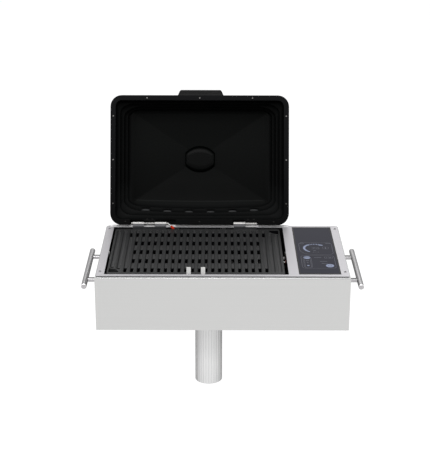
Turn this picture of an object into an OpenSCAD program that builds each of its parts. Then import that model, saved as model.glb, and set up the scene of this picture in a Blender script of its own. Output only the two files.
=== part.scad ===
// Electric grill with a hinged lid in a folded steel housing, carried on a ribbed post.
// Origin: centre of the post's lower end. X to the right, Y to the back, Z up. Millimetres.

/* [Housing] */
// Width of the housing, left to right
body_w = 533.4; // [520:1:600]
// Depth of the housing, front to back
body_d = 300.8; // [290:1:340]
// Height of the housing with its deck
body_h = 121.5; // [115:1:150]
// Thickness of the housing's folded sheet
sheet_t = 1.5; // [1.2:0.1:2]
// Outside radius of the bend along the top edges
bend_r = 2.4; // [2:0.1:4]
// Distance from the post's axis to the housing's middle
body_x = 30; // [0:1:40]
// Width of the housing's return flange at the sides
flange_side = 13; // [12:0.5:14]
// Width of the housing's return flange along the front
flange_front = 10; // [8:0.5:11]
// Width of the housing's return flange along the back
flange_back = 6.5; // [5:0.5:7]
// Width of the return flange that carries the bottom plate
flange_low = 14; // [12:0.5:20]
// Thickness of the bottom plate
bottom_t = 1.5; // [1.2:0.1:3]

/* [Deck] */
// Thickness of the deck frame
deck_t = 1.2; // [1:0.1:3]
// How far the deck frame is set back from the housing's front
deck_front = 5.5; // [0:0.5:6]
// How far the deck frame is set back from the housing's sides and back
deck_inset = 2.5; // [0:0.5:3]
// Corner radius of the deck frame
deck_r = 2; // [1:0.5:5]
// Width of the deck's strips at the left and right
side_strip = 18.7; // [18:0.1:24]
// Width of the deck's front strip at the well
front_strip = 15.2; // [15:0.1:18]
// Width of the deck's back strip at the well
back_strip = 11.3; // [11:0.1:14]
// Width of the bridge between the well and the panel
bridge_w = 21.3; // [21:0.1:28]
// Width of the opening for the touch panel
panel_w = 88.4; // [80:1:100]
// Width of the front strip at the panel
panel_front = 16; // [15.5:0.1:20]
// Width of the back strip at the panel
panel_back = 9.6; // [9.5:0.1:12]
// Thickness of the gasket between deck and housing
gasket_t = 0.6; // [0.5:0.1:2]
// How far the gasket is set back from the deck frame's edge
gasket_inset = 0.4; // [0.3:0.1:1]
// Distance of the deck screws from the side edges
screw_side = 9.2; // [8:0.1:10]
// Distance of the front deck screws from the front edge
screw_front = 30; // [20:1:50]
// Distance of the back deck screws from the back edge
screw_back = 20.8; // [15:1:50]

/* [Well] */
// Depth of the well below the deck's top
well_h = 78; // [70:1:90]
// Thickness of the well's sheet
well_t = 1.2; // [0.8:0.1:1.5]
// Width of the well's hanging lip under the deck
lip_w = 3.4; // [2.5:0.1:4]
// Height of the drip tray
tray_h = 18; // [10:1:25]
// Wall of the drip tray
tray_t = 1; // [0.8:0.1:2]
// Gap between the drip tray's rim and the well
tray_gap = 10; // [5:1:20]
// Width of the drip tray's rim
tray_rim = 6; // [4:0.5:8]
// Thickness of the insulation board under the well
insulation_t = 12; // [6:1:14]
// Inset of the insulation board from the well's sides
insulation_inset = 14; // [5:1:30]

/* [Heating element] */
// Diameter of the element's tube
element_d = 8; // [6:0.5:9]
// Distance between the element's runs
element_pitch = 44; // [40:1:46]
// Depth of the element's middle below the deck's top
element_drop = 32; // [28:1:40]
// Distance of the element's left loop from the well's left wall
element_left = 24; // [20:1:40]
// Distance of the element's right loops from the well's right wall
element_right = 46; // [44:1:60]
// Width of each cross bar under the element
bar_t = 2.5; // [2:0.5:4]
// Height of each cross bar under the element
bar_h = 14; // [12:1:20]
// Number of cross bars
bar_n = 3; // [2:1:4]
// Diameter of the temperature probe
probe_d = 4; // [3:0.5:5]
// Distance of the probe in front of the right bracket's middle
probe_off = 15; // [13:1:24]
// Depth of the probe's middle below the deck's top
probe_drop = 19; // [18.5:0.5:20]

/* [Grate] */
// Gap between grate and well at the left
grate_left_gap = 4.6; // [3:0.1:8]
// Gap between grate and well at the right
grate_right_gap = 7.7; // [3:0.1:8]
// Gap between grate and well at the front
grate_front_gap = 4.8; // [4.6:0.1:6]
// Gap between grate and well at the back
grate_back_gap = 8.1; // [8:0.1:10]
// Depth of the grate's top below the deck's top
grate_drop = 1.5; // [1:0.1:4]
// Height of the grate's rim
grate_h = 13; // [12:0.5:16]
// Corner radius of the grate
grate_r = 7; // [4:0.5:10]
// Least width of the rim round the channels
grate_rim = 4.5; // [4:0.5:8]
// Distance from channel to channel
rib_pitch = 14.25; // [13:0.25:18]
// Half the width of a channel's floor
channel_r = 3.4; // [2.5:0.1:3.6]
// Depth of a channel
channel_h = 3.5; // [3:0.5:6]
// Radius of the ribs' top edges
rib_edge_r = 1.2; // [1:0.1:2]
// Margin between the channels and the grate's front edge
channel_front = 9.5; // [8:0.5:12]
// Margin between the channels and the grate's back edge
channel_back = 9; // [8:0.5:14]
// Width of a slot through a channel's floor
slot_w = 6; // [4:0.25:6.5]
// Length of a slot
slot_l = 23; // [12:1:28]
// Distance of the first row's middle from the front edge
slot_front = 27.2; // [26:0.1:30]
// Distance from row to row
slot_pitch = 51.2; // [40:0.1:51.5]
// Number of slot rows
slot_rows = 5; // [3:1:5]
// Channels without slots at each side of the outer rows
slot_margin = 2; // [1:1:4]
// Distance of a drain from the grate's side edge
drain_side = 3; // [2.5:0.5:6]
// Radius of the quarter-round drain at two corners
drain_r = 21; // [16:1:24]
// Width of the raised lip round a drain
drain_lip = 3.5; // [2:0.5:5]
// Depth of the hollow under the grate
grate_hollow = 4; // [2:0.5:4]
// Running gap under the grate at its brackets
grate_rest = 0.3; // [0.2:0.1:0.5]

/* [Lid] */
// Opening angle of the lid as built, 0 is closed
lid_open = 112; // [0:1:112]
// How far the lid laps over the deck at the left of the well
lid_lap_left = 9; // [7:0.1:12]
// How far the lid laps over the bridge
lid_lap_right = 14.7; // [10:0.1:16]
// How far the lid laps over the front strip
lid_lap_front = 14.2; // [13:0.1:15]
// Gap between the lid's rim and the deck when closed
lid_rest = 1.3; // [1.3:0.1:2]
// Corner radius of the lid
lid_r = 26; // [20:1:34]
// Width of the lid's rim
rim_w = 12; // [11:0.5:14]
// Thickness of the lid's outer shell
shell_t = 1.2; // [1:0.1:2]
// Thickness of the lid's liner
liner_t = 1; // [0.8:0.1:1.5]
// Height of the liner's straight wall above the rim
wall_h = 18; // [14:1:24]
// Height of each of the liner's ridges
ridge_h = 11; // [8:0.5:13]
// Width of each of the liner's ridges
ridge_w = 8.1; // [6:0.1:9]
// Share of the ridge width that the front wall takes
front_share = 0.58; // [0.4:0.02:1]
// Rise of the roof from its edge to the middle
roof_h = 14; // [8:1:20]
// Height of the gap between liner and shell
lid_gap = 7; // [6:0.5:10]
// Width of the boss in the roof
boss_w = 69; // [50:1:80]
// Radius of the boss's two arcs
boss_r = 45; // [40:1:60]
// Offset of the boss's arcs from its middle
boss_off = 14; // [8:1:16]
// How far the boss stands below the roof
boss_h = 9; // [5:0.5:12]
// Depth of the recess in the shell over the boss
recess_h = 5; // [3:0.5:6]
// Number of steam vents along the back ridge
vent_n = 6; // [2:1:6]
// Distance from vent to vent
vent_pitch = 50.5; // [40:0.5:52]
// Width of a vent
vent_w = 27; // [12:1:30]
// Depth of a vent
vent_d = 6; // [4:0.2:7]
// Diameter of the rim rivets' heads
rivet_d = 4; // [3.5:0.5:6]
// Spacing of the rivets along the front
rivet_front = 121; // [80:1:140]
// Spacing of the rivets along the back
rivet_back = 170; // [165:1:172]
// Spacing of the rivets along the sides
rivet_side = 100.5; // [60:1:110]

/* [Lid handle] */
// Width of the handle at the lid
tab_w = 105; // [80:1:130]
// Width of the handle at its outer edge
tab_tip_w = 90; // [60:1:110]
// How far the handle stands out
tab_out = 13; // [10:0.5:25]
// Thickness of the handle
tab_t = 11; // [8:0.5:11.5]
// Offset of the handle from the lid's middle
tab_x = 2; // [-5:1:5]

/* [Hinges] */
// Diameter of the hinge pins
pin_d = 3.2; // [3:0.1:3.6]
// Running clearance of the pins, radial
pin_fit = 0.05; // [0.02:0.01:0.1]
// Diameter of the hinge knuckles
knuckle_d = 6.4; // [6:0.1:6.6]
// Gap between neighbouring knuckles
knuckle_gap = 0.4; // [0.3:0.1:0.8]
// Thickness of the hinge leaves
leaf_t = 1.5; // [1.2:0.1:1.5]
// Height of the hinge axis above the deck's top
axis_up = 7.6; // [7.4:0.1:8.4]
// Distance of the hinge axis behind the well's back edge
axis_back = 5.5; // [5.4:0.1:6]
// How far the lid's back edge lies behind the hinge axis
lid_behind = 3; // [2.5:0.1:3.2]
// Length of the left hinge with its three knuckles
hinge_left_l = 75.9; // [60:0.1:90]
// Distance of the left hinge from the well's left edge
hinge_left_x = 43; // [36:1:60]
// Length of the right hinge with its two knuckles
hinge_right_l = 53; // [40:0.5:70]
// Distance of the right hinge from the well's right edge
hinge_right_x = 58.8; // [50:0.1:90]
// How far the pull pin stands out at its left end
pin_end = 4; // [1:0.5:6]
// Straight length of the pull pin past the hinge
pin_past = 4.1; // [3:0.1:8]
// Sideways run of the pull pin's lever
lever_x = 11; // [6:0.5:14]
// Forward run of the pull pin's lever
lever_y = 9.2; // [9:0.1:9.5]
// Downward run of the pull pin's lever
lever_z = 6.9; // [6.8:0.1:7]
// Diameter of the grip on the lever
grip_d = 5.8; // [5:0.1:6]
// Travel of the pull pin
pin_travel = 55; // [54:0.5:56]

/* [Lid catches] */
// Offset of the catches from the lid's middle
catch_x = -4; // [-20:1:20]
// Distance between the two catches
catch_pitch = 30; // [20:1:60]
// Width of a catch
catch_w = 9; // [6:0.5:12]
// Thickness of a catch's spring steel
catch_t = 0.8; // [0.6:0.1:1]
// Height of a catch above the deck
catch_up = 16; // [12:0.5:17]
// Depth of a catch below the deck
catch_down = 26; // [24:1:36]

/* [Side handles] */
// Diameter of the handle bars
bar_d = 12; // [10:0.5:16]
// Length of the handle bars
handle_l = 204; // [160:1:240]
// Distance between a bar's two standoffs
standoff_pitch = 128; // [100:1:150]
// Diameter of the standoffs
standoff_d = 9.6; // [8:0.2:11]
// Distance of a bar's axis from the housing's side
handle_out = 28.3; // [24:0.1:40]
// Depth of the bars' axes below the deck's top
handle_drop = 43; // [36:1:60]

/* [Post] */
// Outside diameter of the post
post_d = 60.3; // [55:0.1:70]
// Bore of the post
post_bore = 54; // [48:0.1:54.6]
// Length of post that the part has
post_l = 188; // [150:1:400]
// Number of flutes round the post
flute_n = 28; // [16:1:32]
// Radius of a flute
flute_r = 1.5; // [1:0.1:2]
// Width of the socket's square plate
socket_w = 180; // [150:1:200]
// Thickness of the socket's plate
socket_t = 6; // [5:0.5:10]
// Length of the socket's neck
neck_l = 45; // [30:1:48]
// Wall of the socket's neck
neck_t = 8; // [6:0.5:9]
// Clearance between post and neck, radial
post_fit = 0.15; // [0.1:0.05:0.3]
// Distance between the socket's bolts
bolt_pitch = 140; // [120:1:150]
// Diameter of the socket's bolts
bolt_d = 8; // [6:0.5:10]

/* [Hidden] */

eps = 0.01;
big = 1000;
fine = 48;
coarse = 32;
gap = 0.3;

// Heights
body_z = post_l + socket_t - sheet_t;
deck_z = body_z + body_h;
shell_top = deck_z - deck_t - gasket_t;
plate_z = body_z + sheet_t;

// Housing in plan
left_x = body_x - body_w / 2;
right_x = body_x + body_w / 2;
front_y = -body_d / 2;
back_y = body_d / 2;

// Openings in the deck
well_w = body_w - 2 * side_strip - bridge_w - panel_w;
well_x0 = left_x + side_strip;
well_x1 = well_x0 + well_w;
well_y0 = front_y + front_strip;
well_y1 = back_y - back_strip;
panel_x0 = well_x1 + bridge_w;
panel_x1 = panel_x0 + panel_w;
panel_y0 = front_y + panel_front;
panel_y1 = back_y - panel_back;
well_floor = deck_z - well_h;

// Grate
grate_x0 = well_x0 + grate_left_gap;
grate_x1 = well_x1 - grate_right_gap;
grate_y0 = well_y0 + grate_front_gap;
grate_y1 = well_y1 - grate_back_gap;
grate_cx = (grate_x0 + grate_x1) / 2;
grate_top = deck_z - grate_drop;
grate_z = grate_top - grate_h;
mouth_r = channel_r + rib_edge_r;
half_channels = floor(((grate_x1 - grate_x0) / 2 - grate_rim - channel_r) / rib_pitch + 0.5);
channel_floor_r = min(channel_r - 0.2, channel_h - rib_edge_r);
slot_columns = half_channels - slot_margin;

// Lid, in its own frame: origin on the hinge axis at the lid's middle, closed
lid_w = well_w + lid_lap_left + lid_lap_right;
lid_cx = well_x0 - lid_lap_left + lid_w / 2;
axis_y = well_y1 + axis_back;
axis_z = deck_z + axis_up;
lid_l = lid_lap_front + (well_y1 - well_y0) + axis_back + lid_behind;
lid_y0 = lid_behind - lid_l;
rim_z = lid_rest - axis_up;
liner_top = rim_z + wall_h + 4 * ridge_h;
shell_edge = liner_top + lid_gap;
flange_z = rim_z + liner_t;
leaf_y = lid_behind - rim_w + liner_t;
roof_cy = (lid_y0 + roof_front() + lid_behind - roof_inset()) / 2;
liner_apex = liner_top + roof_h;
shell_apex = shell_edge + roof_h;
ridge_r = [48, 36, 24, 10, 6];

// Hinges
knuckle_r = knuckle_d / 2;
pin_r = pin_d / 2;
bore_r = pin_r + pin_fit;
left_h0 = well_x0 + hinge_left_x;
left_h1 = left_h0 + hinge_left_l;
right_h1 = well_x1 - hinge_right_x;
right_h0 = right_h1 - hinge_right_l;
left_k = hinge_left_l / 3;
lever_l = norm([lever_x, lever_y, lever_z]);
lever_x0 = left_h1 + pin_past;
leaf_down = 22;
leaf_up = 1;
pocket_top = knuckle_r + 1;
lid_leaf_h = 13;
hinge_screw_drop = 12;

// Post
post_r = post_d / 2;
neck_r = post_r + post_fit + neck_t;

function roof_inset() = rim_w + 4 * ridge_w;
function roof_front() = rim_w + 4 * ridge_w * front_share;

// A rounded rectangle at one height, counted anticlockwise seen from above
corner_n = 8;
function loop(hw, y0, y1, r, z) = [
    for (c = [0:3], j = [0:corner_n])
        let (a = 90 * c + 90 * j / corner_n)
        let (cx = (c == 0 || c == 3) ? hw - r : r - hw)
        let (cy = (c < 2) ? y1 - r : y0 + r)
        [cx + r * cos(a), cy + r * sin(a), z]
];

// A loop of the lid at an inset from its edge; past the base the front wall is steeper
function lid_loop(inset, base, r, z) =
    let (extra = max(inset - base, 0))
    loop(lid_w / 2 - inset, lid_y0 + inset - extra * (1 - front_share), lid_behind - inset, r, z);

// A loop of the hipped roof, shrunk towards the roof's middle
function roof_loop(inset, base, r, z, s) =
    let (extra = inset - base)
    let (y0 = lid_y0 + inset - extra * (1 - front_share))
    let (y1 = lid_behind - inset)
    let (cy = (y0 + y1) / 2)
    loop((lid_w / 2 - inset) * s, cy + (y0 - cy) * s, cy + (y1 - cy) * s, r * s, z);

// The stepped wall from the rim up to the roof's edge
function ridges(base, z0, dz) = [
    for (k = [0:3], step = [0:1])
        lid_loop(base + k * ridge_w + (step == 0 ? 0.2 : 1) * ridge_w, base,
            step == 0 ? ridge_r[k] : (ridge_r[k] + ridge_r[k + 1]) / 2,
            z0 + k * ridge_h + (step == 0 ? 0.72 : 1) * ridge_h + dz)
];

function flipped(list) = [for (i = [len(list) - 1:-1:0]) list[i]];

module skin(loops) {
    n = len(loops[0]);
    m = len(loops);
    polyhedron(
        points = [for (l = loops, p = l) p],
        faces = concat(
            [[for (j = [0:n - 1]) j]],
            [for (k = [0:m - 2], j = [0:n - 1])
                let (a = k * n + j, b = k * n + (j + 1) % n)
                [a, a + n, b]],
            [for (k = [0:m - 2], j = [0:n - 1])
                let (a = k * n + j, b = k * n + (j + 1) % n)
                [b, a + n, b + n]],
            [[for (j = [n - 1:-1:0]) (m - 1) * n + j]]
        ),
        convexity = 10
    );
}

module block(a, b) {
    translate(a) cube([b[0] - a[0], b[1] - a[1], b[2] - a[2]]);
}

// A plate with round corners between two corners, lying in the XY plane
module plate(a, b, r, h) {
    translate([0, 0, a[2]]) linear_extrude(h) rounded(a, b, r);
}

module rounded(a, b, r) {
    translate([a[0] + r, a[1]]) square([b[0] - a[0] - 2 * r, b[1] - a[1]]);
    translate([a[0], a[1] + r]) square([b[0] - a[0], b[1] - a[1] - 2 * r]);
    for (x = [a[0] + r, b[0] - r], y = [a[1] + r, b[1] - r])
        translate([x, y]) circle(r, $fn = fine);
}

// A pan-head screw pointing down, its head's underside at the origin
module screw(d, l, head_d, head_h) {
    translate([0, 0, -l]) cylinder(d = d, h = l, $fn = coarse);
    difference() {
        union() {
            cylinder(d = head_d, h = head_h * 0.5, $fn = coarse);
            translate([0, 0, head_h * 0.5])
                cylinder(d1 = head_d, d2 = head_d * 0.8, h = head_h * 0.5, $fn = coarse);
        }
        translate([0, 0, head_h * 0.4]) cylinder(d = head_d * 0.45, h = head_h, $fn = 6);
    }
}

module nut(d, across, h) {
    difference() {
        cylinder(d = across / cos(30), h = h, $fn = 6);
        translate([0, 0, -1]) cylinder(d = d + 0.2, h = h + 2, $fn = coarse);
    }
}

// Puts a piece of the lid from its closed frame to its place
module lid_place() {
    translate([lid_cx, axis_y, axis_z]) rotate([-lid_open, 0, 0]) children();
}

// Housing

deck_screw_d = 4;
deck_head_d = 5.5;
deck_head_h = 0.9;
bottom_screw_d = 4;

module at_deck_screws() {
    for (x = [left_x + screw_side, right_x - screw_side], y = [front_y + screw_front, back_y - screw_back])
        translate([x, y, deck_z]) children();
}

module at_bottom_screws() {
    for (x = [left_x + flange_low / 2, body_x - body_w / 6, body_x + body_w / 6, right_x - flange_low / 2])
        for (y = [front_y + flange_low / 2, back_y - flange_low / 2])
            translate([x, y, body_z]) children();
}

module at_standoffs() {
    for (side = [-1, 1], y = [-standoff_pitch / 2, standoff_pitch / 2])
        translate([body_x + side * body_w / 2, y, deck_z - handle_drop]) rotate([0, 90 * side, 0]) children();
}

handle_screw_d = 5;

module housing_shell() {
    color("gainsboro") difference() {
        block([left_x, front_y, body_z], [right_x, back_y, shell_top]);
        block([left_x + sheet_t, front_y + sheet_t, body_z + sheet_t],
            [right_x - sheet_t, back_y - sheet_t, shell_top - sheet_t]);
        block([left_x + flange_side, front_y + flange_front, shell_top - 2 * sheet_t],
            [right_x - flange_side, back_y - flange_back, shell_top + 1]);
        block([left_x + flange_low, front_y + flange_low, body_z - 1],
            [right_x - flange_low, back_y - flange_low, body_z + 2 * sheet_t]);
        for (side = [-1, 1]) {
            translate([left_x - 1, side * body_d / 2, shell_top]) edge_cut(body_w + 2, side, 0);
            translate([body_x + side * body_w / 2, front_y - 1, shell_top]) edge_cut(body_d + 2, side, 1);
        }
        at_deck_screws() translate([0, 0, -20]) cylinder(d = deck_screw_d + 0.4, h = 30, $fn = coarse);
        at_bottom_screws() translate([0, 0, -1]) cylinder(d = bottom_screw_d + 0.4, h = 10, $fn = coarse);
        at_standoffs() translate([0, 0, -5]) cylinder(d = handle_screw_d + 0.4, h = 10, $fn = coarse);
    }
}

// What a bend takes off the outside of a square edge
module edge_cut(l, side, along_y) {
    rotate([0, 0, along_y ? 90 : 0]) rotate([90, 0, 90]) linear_extrude(l)
        scale([along_y ? -side : side, 1]) difference() {
            translate([-bend_r, -bend_r]) square(bend_r + 1);
            translate([-bend_r, -bend_r]) circle(bend_r, $fn = fine);
        }
}

vent_slot_l = 60;
vent_slot_w = 4;
vent_slot_pitch = 12;
vent_slot_n = 6;
gland_x = 0;
gland_y = 0;
gland_d = 16;

module bottom_plate() {
    slot_x = (panel_x0 + panel_x1) / 2;
    color("silver") difference() {
        block([left_x + sheet_t + gap, front_y + sheet_t + gap, plate_z],
            [right_x - sheet_t - gap, back_y - sheet_t - gap, plate_z + bottom_t]);
        at_bottom_screws() translate([0, 0, -1]) cylinder(d = bottom_screw_d + 0.4, h = 10, $fn = coarse);
        at_socket_bolts() translate([0, 0, -1]) cylinder(d = bolt_d + 0.5, h = 20, $fn = coarse);
        translate([gland_x, gland_y, plate_z - 1]) cylinder(d = gland_d + 0.4, h = 10, $fn = fine);
        for (i = [0:vent_slot_n - 1])
            translate([slot_x - vent_slot_l / 2, (i - (vent_slot_n - 1) / 2) * vent_slot_pitch, plate_z - 1])
                block([0, -vent_slot_w / 2, 0], [vent_slot_l, vent_slot_w / 2, bottom_t + 2]);
    }
}

module bottom_screws() {
    color("silver") at_bottom_screws() rotate([180, 0, 0])
        screw(bottom_screw_d, sheet_t + bottom_t + 4, 7.5, 2.2);
}

module deck_frame() {
    color("lightgray") difference() {
        plate([left_x + deck_inset, front_y + deck_front, deck_z - deck_t],
            [right_x - deck_inset, back_y - deck_inset], deck_r, deck_t);
        block([well_x0, well_y0, deck_z - deck_t - 1], [well_x1, well_y1, deck_z + 1]);
        block([panel_x0, panel_y0, deck_z - deck_t - 1], [panel_x1, panel_y1, deck_z + 1]);
        at_deck_screws() translate([0, 0, -10]) cylinder(d = deck_screw_d + 0.4, h = 20, $fn = coarse);
    }
}

module deck_gasket() {
    side_in = deck_inset + gasket_inset;
    color("dimgray") difference() {
        block([left_x + side_in, front_y + deck_front + gasket_inset, shell_top],
            [right_x - side_in, back_y - side_in, shell_top + gasket_t]);
        block([left_x + flange_side, front_y + flange_front, shell_top - 1],
            [right_x - flange_side, back_y - flange_back, shell_top + gasket_t + 1]);
        at_deck_screws() translate([0, 0, -10]) cylinder(d = deck_screw_d + 0.4, h = 20, $fn = coarse);
    }
}

deck_nut_h = 3.2;

module deck_screws() {
    color("gray") at_deck_screws()
        screw(deck_screw_d, deck_t + gasket_t + sheet_t + deck_nut_h + 2, deck_head_d, deck_head_h);
}

module deck_nuts() {
    color("gray") at_deck_screws() translate([0, 0, -deck_t - gasket_t - sheet_t - deck_nut_h])
        nut(deck_screw_d, 7, deck_nut_h);
}

// Well and what lies in it

module well_box(grow, z0, z1) {
    block([well_x0 - grow, well_y0 - grow, z0], [well_x1 + grow, well_y1 + grow, z1]);
}

terminal_gap = 0.2;

module at_terminals() {
    for (side = [-1, 1])
        translate([well_x1, run_y(2.5 + side / 2), deck_z - element_drop]) children();
}

module at_probe() {
    translate([well_x1, run_mid - bracket_off - probe_off, deck_z - probe_drop]) children();
}

module at_hinge_screws() {
    for (x = [left_h0 + 8, left_h1 - 8, right_h0 + 8, right_h1 - 8])
        translate([x, well_y1 - leaf_t, deck_z - hinge_screw_drop]) rotate([90, 0, 0]) children();
}

module well_pan() {
    color("dimgray") difference() {
        union() {
            well_box(well_t, well_floor - well_t, deck_z - deck_t);
            well_box(lip_w, deck_z - deck_t - well_t, deck_z - deck_t);
        }
        well_box(0, well_floor, deck_z + 1);
        at_terminals() rotate([0, 90, 0]) translate([0, 0, -1]) cylinder(d = element_d + 1, h = 4, $fn = fine);
        at_probe() rotate([0, 90, 0]) translate([0, 0, -1]) cylinder(d = grommet_d, h = 4, $fn = fine);
        at_hinge_screws() translate([0, 0, -8]) cylinder(d = hinge_screw_d + 0.3, h = 10, $fn = coarse);
    }
}

module insulation_board() {
    color("wheat") block(
        [well_x0 + insulation_inset, well_y0 + insulation_inset, well_floor - well_t - insulation_t],
        [well_x1 - insulation_inset, well_y1 - insulation_inset, well_floor - well_t]);
}

module drip_tray() {
    x0 = well_x0 + tray_gap;
    x1 = well_x1 - tray_gap;
    y0 = well_y0 + tray_gap;
    y1 = well_y1 - tray_gap;
    inner_r = 10;
    color("silver") difference() {
        union() {
            plate([x0 + tray_rim, y0 + tray_rim, well_floor], [x1 - tray_rim, y1 - tray_rim],
                inner_r + tray_t, tray_h);
            plate([x0, y0, well_floor + tray_h - tray_t], [x1, y1], inner_r + tray_rim, tray_t);
        }
        plate([x0 + tray_rim + tray_t, y0 + tray_rim + tray_t, well_floor + tray_t],
            [x1 - tray_rim - tray_t, y1 - tray_rim - tray_t], inner_r, tray_h);
    }
}

// The element is one tube of six runs that starts and ends at the right wall
run_mid = (well_y0 + well_y1) / 2;
element_end_x = 14;
function run_y(k) = run_mid + (k - 2.5) * element_pitch;
turn_r = element_pitch / 2;
turn_x0 = well_x0 + element_left + turn_r + element_pitch;
turn_x1 = well_x1 - element_right;
outer_x = well_x0 + element_left;

module tube_x(x0, x1, y) {
    translate([x0, y, 0]) rotate([0, 90, 0]) cylinder(d = element_d, h = x1 - x0, $fn = fine);
}

module tube_turn(x, y, from, sweep) {
    translate([x, y, 0]) rotate([0, 0, from]) rotate_extrude(angle = sweep, $fn = fine)
        translate([turn_r, 0]) circle(d = element_d, $fn = fine);
}

module heating_element() {
    color("darkslategray") translate([0, 0, deck_z - element_drop]) {
        for (k = [2, 3]) tube_x(turn_x0, well_x1 + element_end_x, run_y(k));
        for (k = [1, 4]) tube_x(turn_x0, turn_x1, run_y(k));
        for (k = [0, 5]) tube_x(outer_x + turn_r, turn_x1, run_y(k));
        tube_turn(turn_x0, run_y(1.5), 90, 180);
        tube_turn(turn_x0, run_y(3.5), 90, 180);
        tube_turn(turn_x1, run_y(0.5), -90, 180);
        tube_turn(turn_x1, run_y(4.5), -90, 180);
        tube_turn(outer_x + turn_r, run_y(0.5), 180, 90);
        tube_turn(outer_x + turn_r, run_y(4.5), 90, 90);
        translate([outer_x, run_y(0.5), 0]) rotate([-90, 0, 0])
            cylinder(d = element_d, h = run_y(4.5) - run_y(0.5), $fn = fine);
    }
}

module element_supports() {
    first_x = turn_x0 + 15;
    last_x = turn_x1 - 15;
    bar_z = deck_z - element_drop;
    color("silver") for (i = [0:bar_n - 1])
        translate([first_x + (last_x - first_x) * i / (bar_n - 1), 0, bar_z]) difference() {
            union() {
                block([-bar_t / 2, well_y0, -bar_h], [bar_t / 2, well_y1, 0]);
                for (y = [well_y0, well_y1 - bar_t])
                    block([-bar_h / 2, y, -bar_h], [bar_h / 2, y + bar_t, -element_d / 2 - 1]);
            }
            for (k = [0:5])
                translate([-bar_h, run_y(k), 0]) rotate([0, 90, 0])
                    cylinder(d = element_d + 0.2, h = 2 * bar_h, $fn = fine);
        }
}

bracket_w = 12;
bracket_t = 1.5;
bracket_out = 12;
bracket_off = 10;
bracket_top = 2.5;

// Angle brackets on the well's walls that carry the grate
module grate_brackets() {
    z = grate_z - grate_rest;
    front_span = (grate_x1 - grate_x0) * 0.32;
    back_mid = (left_h1 + right_h0) / 2;
    back_span = (right_h0 - left_h1) * 0.34;
    color("silver") {
        translate([well_x1, run_mid - bracket_off, z]) bracket();
        translate([well_x0, run_mid - bracket_off, z]) rotate([0, 0, 180]) bracket();
        for (side = [-1, 1]) {
            translate([grate_cx + side * front_span, well_y0, z]) rotate([0, 0, -90]) bracket();
            translate([back_mid + side * back_span, well_y1, z]) rotate([0, 0, 90]) bracket();
        }
    }
}

module bracket() {
    block([-bracket_out, -bracket_w / 2, -bracket_t], [0, bracket_w / 2, 0]);
    block([-bracket_t, -bracket_w / 2, -eps], [0, bracket_w / 2, deck_z - bracket_top - grate_z + grate_rest]);
}

block_w = 13;
block_h = 14;

module terminal_block() {
    color("ivory") translate([well_x1 + well_t, 0, deck_z - element_drop]) difference() {
        block([0, run_y(2) - 14, -block_h / 2], [block_w, run_y(3) + 14, block_h / 2]);
        for (k = [2, 3])
            translate([-1, run_y(k), 0]) rotate([0, 90, 0])
                cylinder(d = element_d + 2 * terminal_gap, h = block_w + 2, $fn = fine);
    }
}

cutout_d = 16;
cutout_back = 45;

module thermal_cutout() {
    color("sienna") translate([well_x1 + well_t, well_y1 - cutout_back, deck_z - 50]) rotate([0, 90, 0]) {
        cylinder(d = cutout_d + 8, h = 1, $fn = fine);
        translate([0, 0, 1]) cylinder(d = cutout_d, h = 8, $fn = fine);
    }
}

grommet_d = 6;
probe_l = 150;

module temperature_probe() {
    color("lightsteelblue") at_probe() rotate([0, 90, 0]) translate([0, 0, -probe_l])
        cylinder(d = probe_d, h = probe_l + 10, $fn = fine);
}

module probe_grommet() {
    color("firebrick") at_probe() rotate([0, 90, 0]) difference() {
        union() {
            translate([0, 0, -2]) cylinder(d = grommet_d + 4, h = 2, $fn = fine);
            cylinder(d = grommet_d - 0.2, h = well_t, $fn = fine);
            translate([0, 0, well_t]) cylinder(d = grommet_d + 4, h = 2, $fn = fine);
        }
        translate([0, 0, -3]) cylinder(d = probe_d + 0.1, h = 10, $fn = fine);
    }
}

// Control panel

glass_t = 4;
glass_gap = 0.6;
glass_drop = 0.1;
glass_r = 1.5;
seal_t = 1.2;
ledge_w = 5;
tray_wall = 1.2;
panel_floor = deck_z - 62;
seal_z = deck_z - glass_drop - glass_t - seal_t;
board_t = 1.6;

module panel_box(inset, z0, z1) {
    block([panel_x0 + inset, panel_y0 + inset, z0], [panel_x1 - inset, panel_y1 - inset, z1]);
}

module touch_glass() {
    color("darkslateblue") plate(
        [panel_x0 + glass_gap, panel_y0 + glass_gap, deck_z - glass_drop - glass_t],
        [panel_x1 - glass_gap, panel_y1 - glass_gap], glass_r, glass_t);
}

module glass_seal() {
    color("black") difference() {
        panel_box(0.2, seal_z, seal_z + seal_t);
        panel_box(ledge_w - 0.5, seal_z - 1, seal_z + seal_t + 1);
    }
}

module control_tray() {
    lip = 2.3;
    color("silver") difference() {
        union() {
            panel_box(-lip, deck_z - deck_t - tray_wall, deck_z - deck_t);
            panel_box(-tray_wall, seal_z - tray_wall, deck_z - deck_t);
            panel_box(ledge_w - tray_wall, panel_floor - tray_wall, seal_z);
        }
        panel_box(0, seal_z, deck_z + 1);
        panel_box(ledge_w, panel_floor, seal_z + 1);
    }
}

module touch_board() {
    z = deck_z - glass_drop - glass_t - board_t;
    color("seagreen") plate([panel_x0 + 12, panel_y0 + 60, z], [panel_x1 - 12, panel_y1 - 12], 2, board_t);
}

standoff_h = 8;
board_z = panel_floor + standoff_h;

module at_standoff_posts() {
    for (x = [panel_x0 + 14, panel_x1 - 14], y = [panel_y0 + 25, panel_y1 - 25])
        translate([x, y, panel_floor]) children();
}

module board_standoffs() {
    color("goldenrod") at_standoff_posts() {
        cylinder(d = 6, h = standoff_h, $fn = coarse);
        cylinder(d = 3, h = standoff_h + board_t, $fn = coarse);
        translate([0, 0, standoff_h + board_t]) cylinder(d = 5.5, h = 2, $fn = coarse);
    }
}

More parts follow.
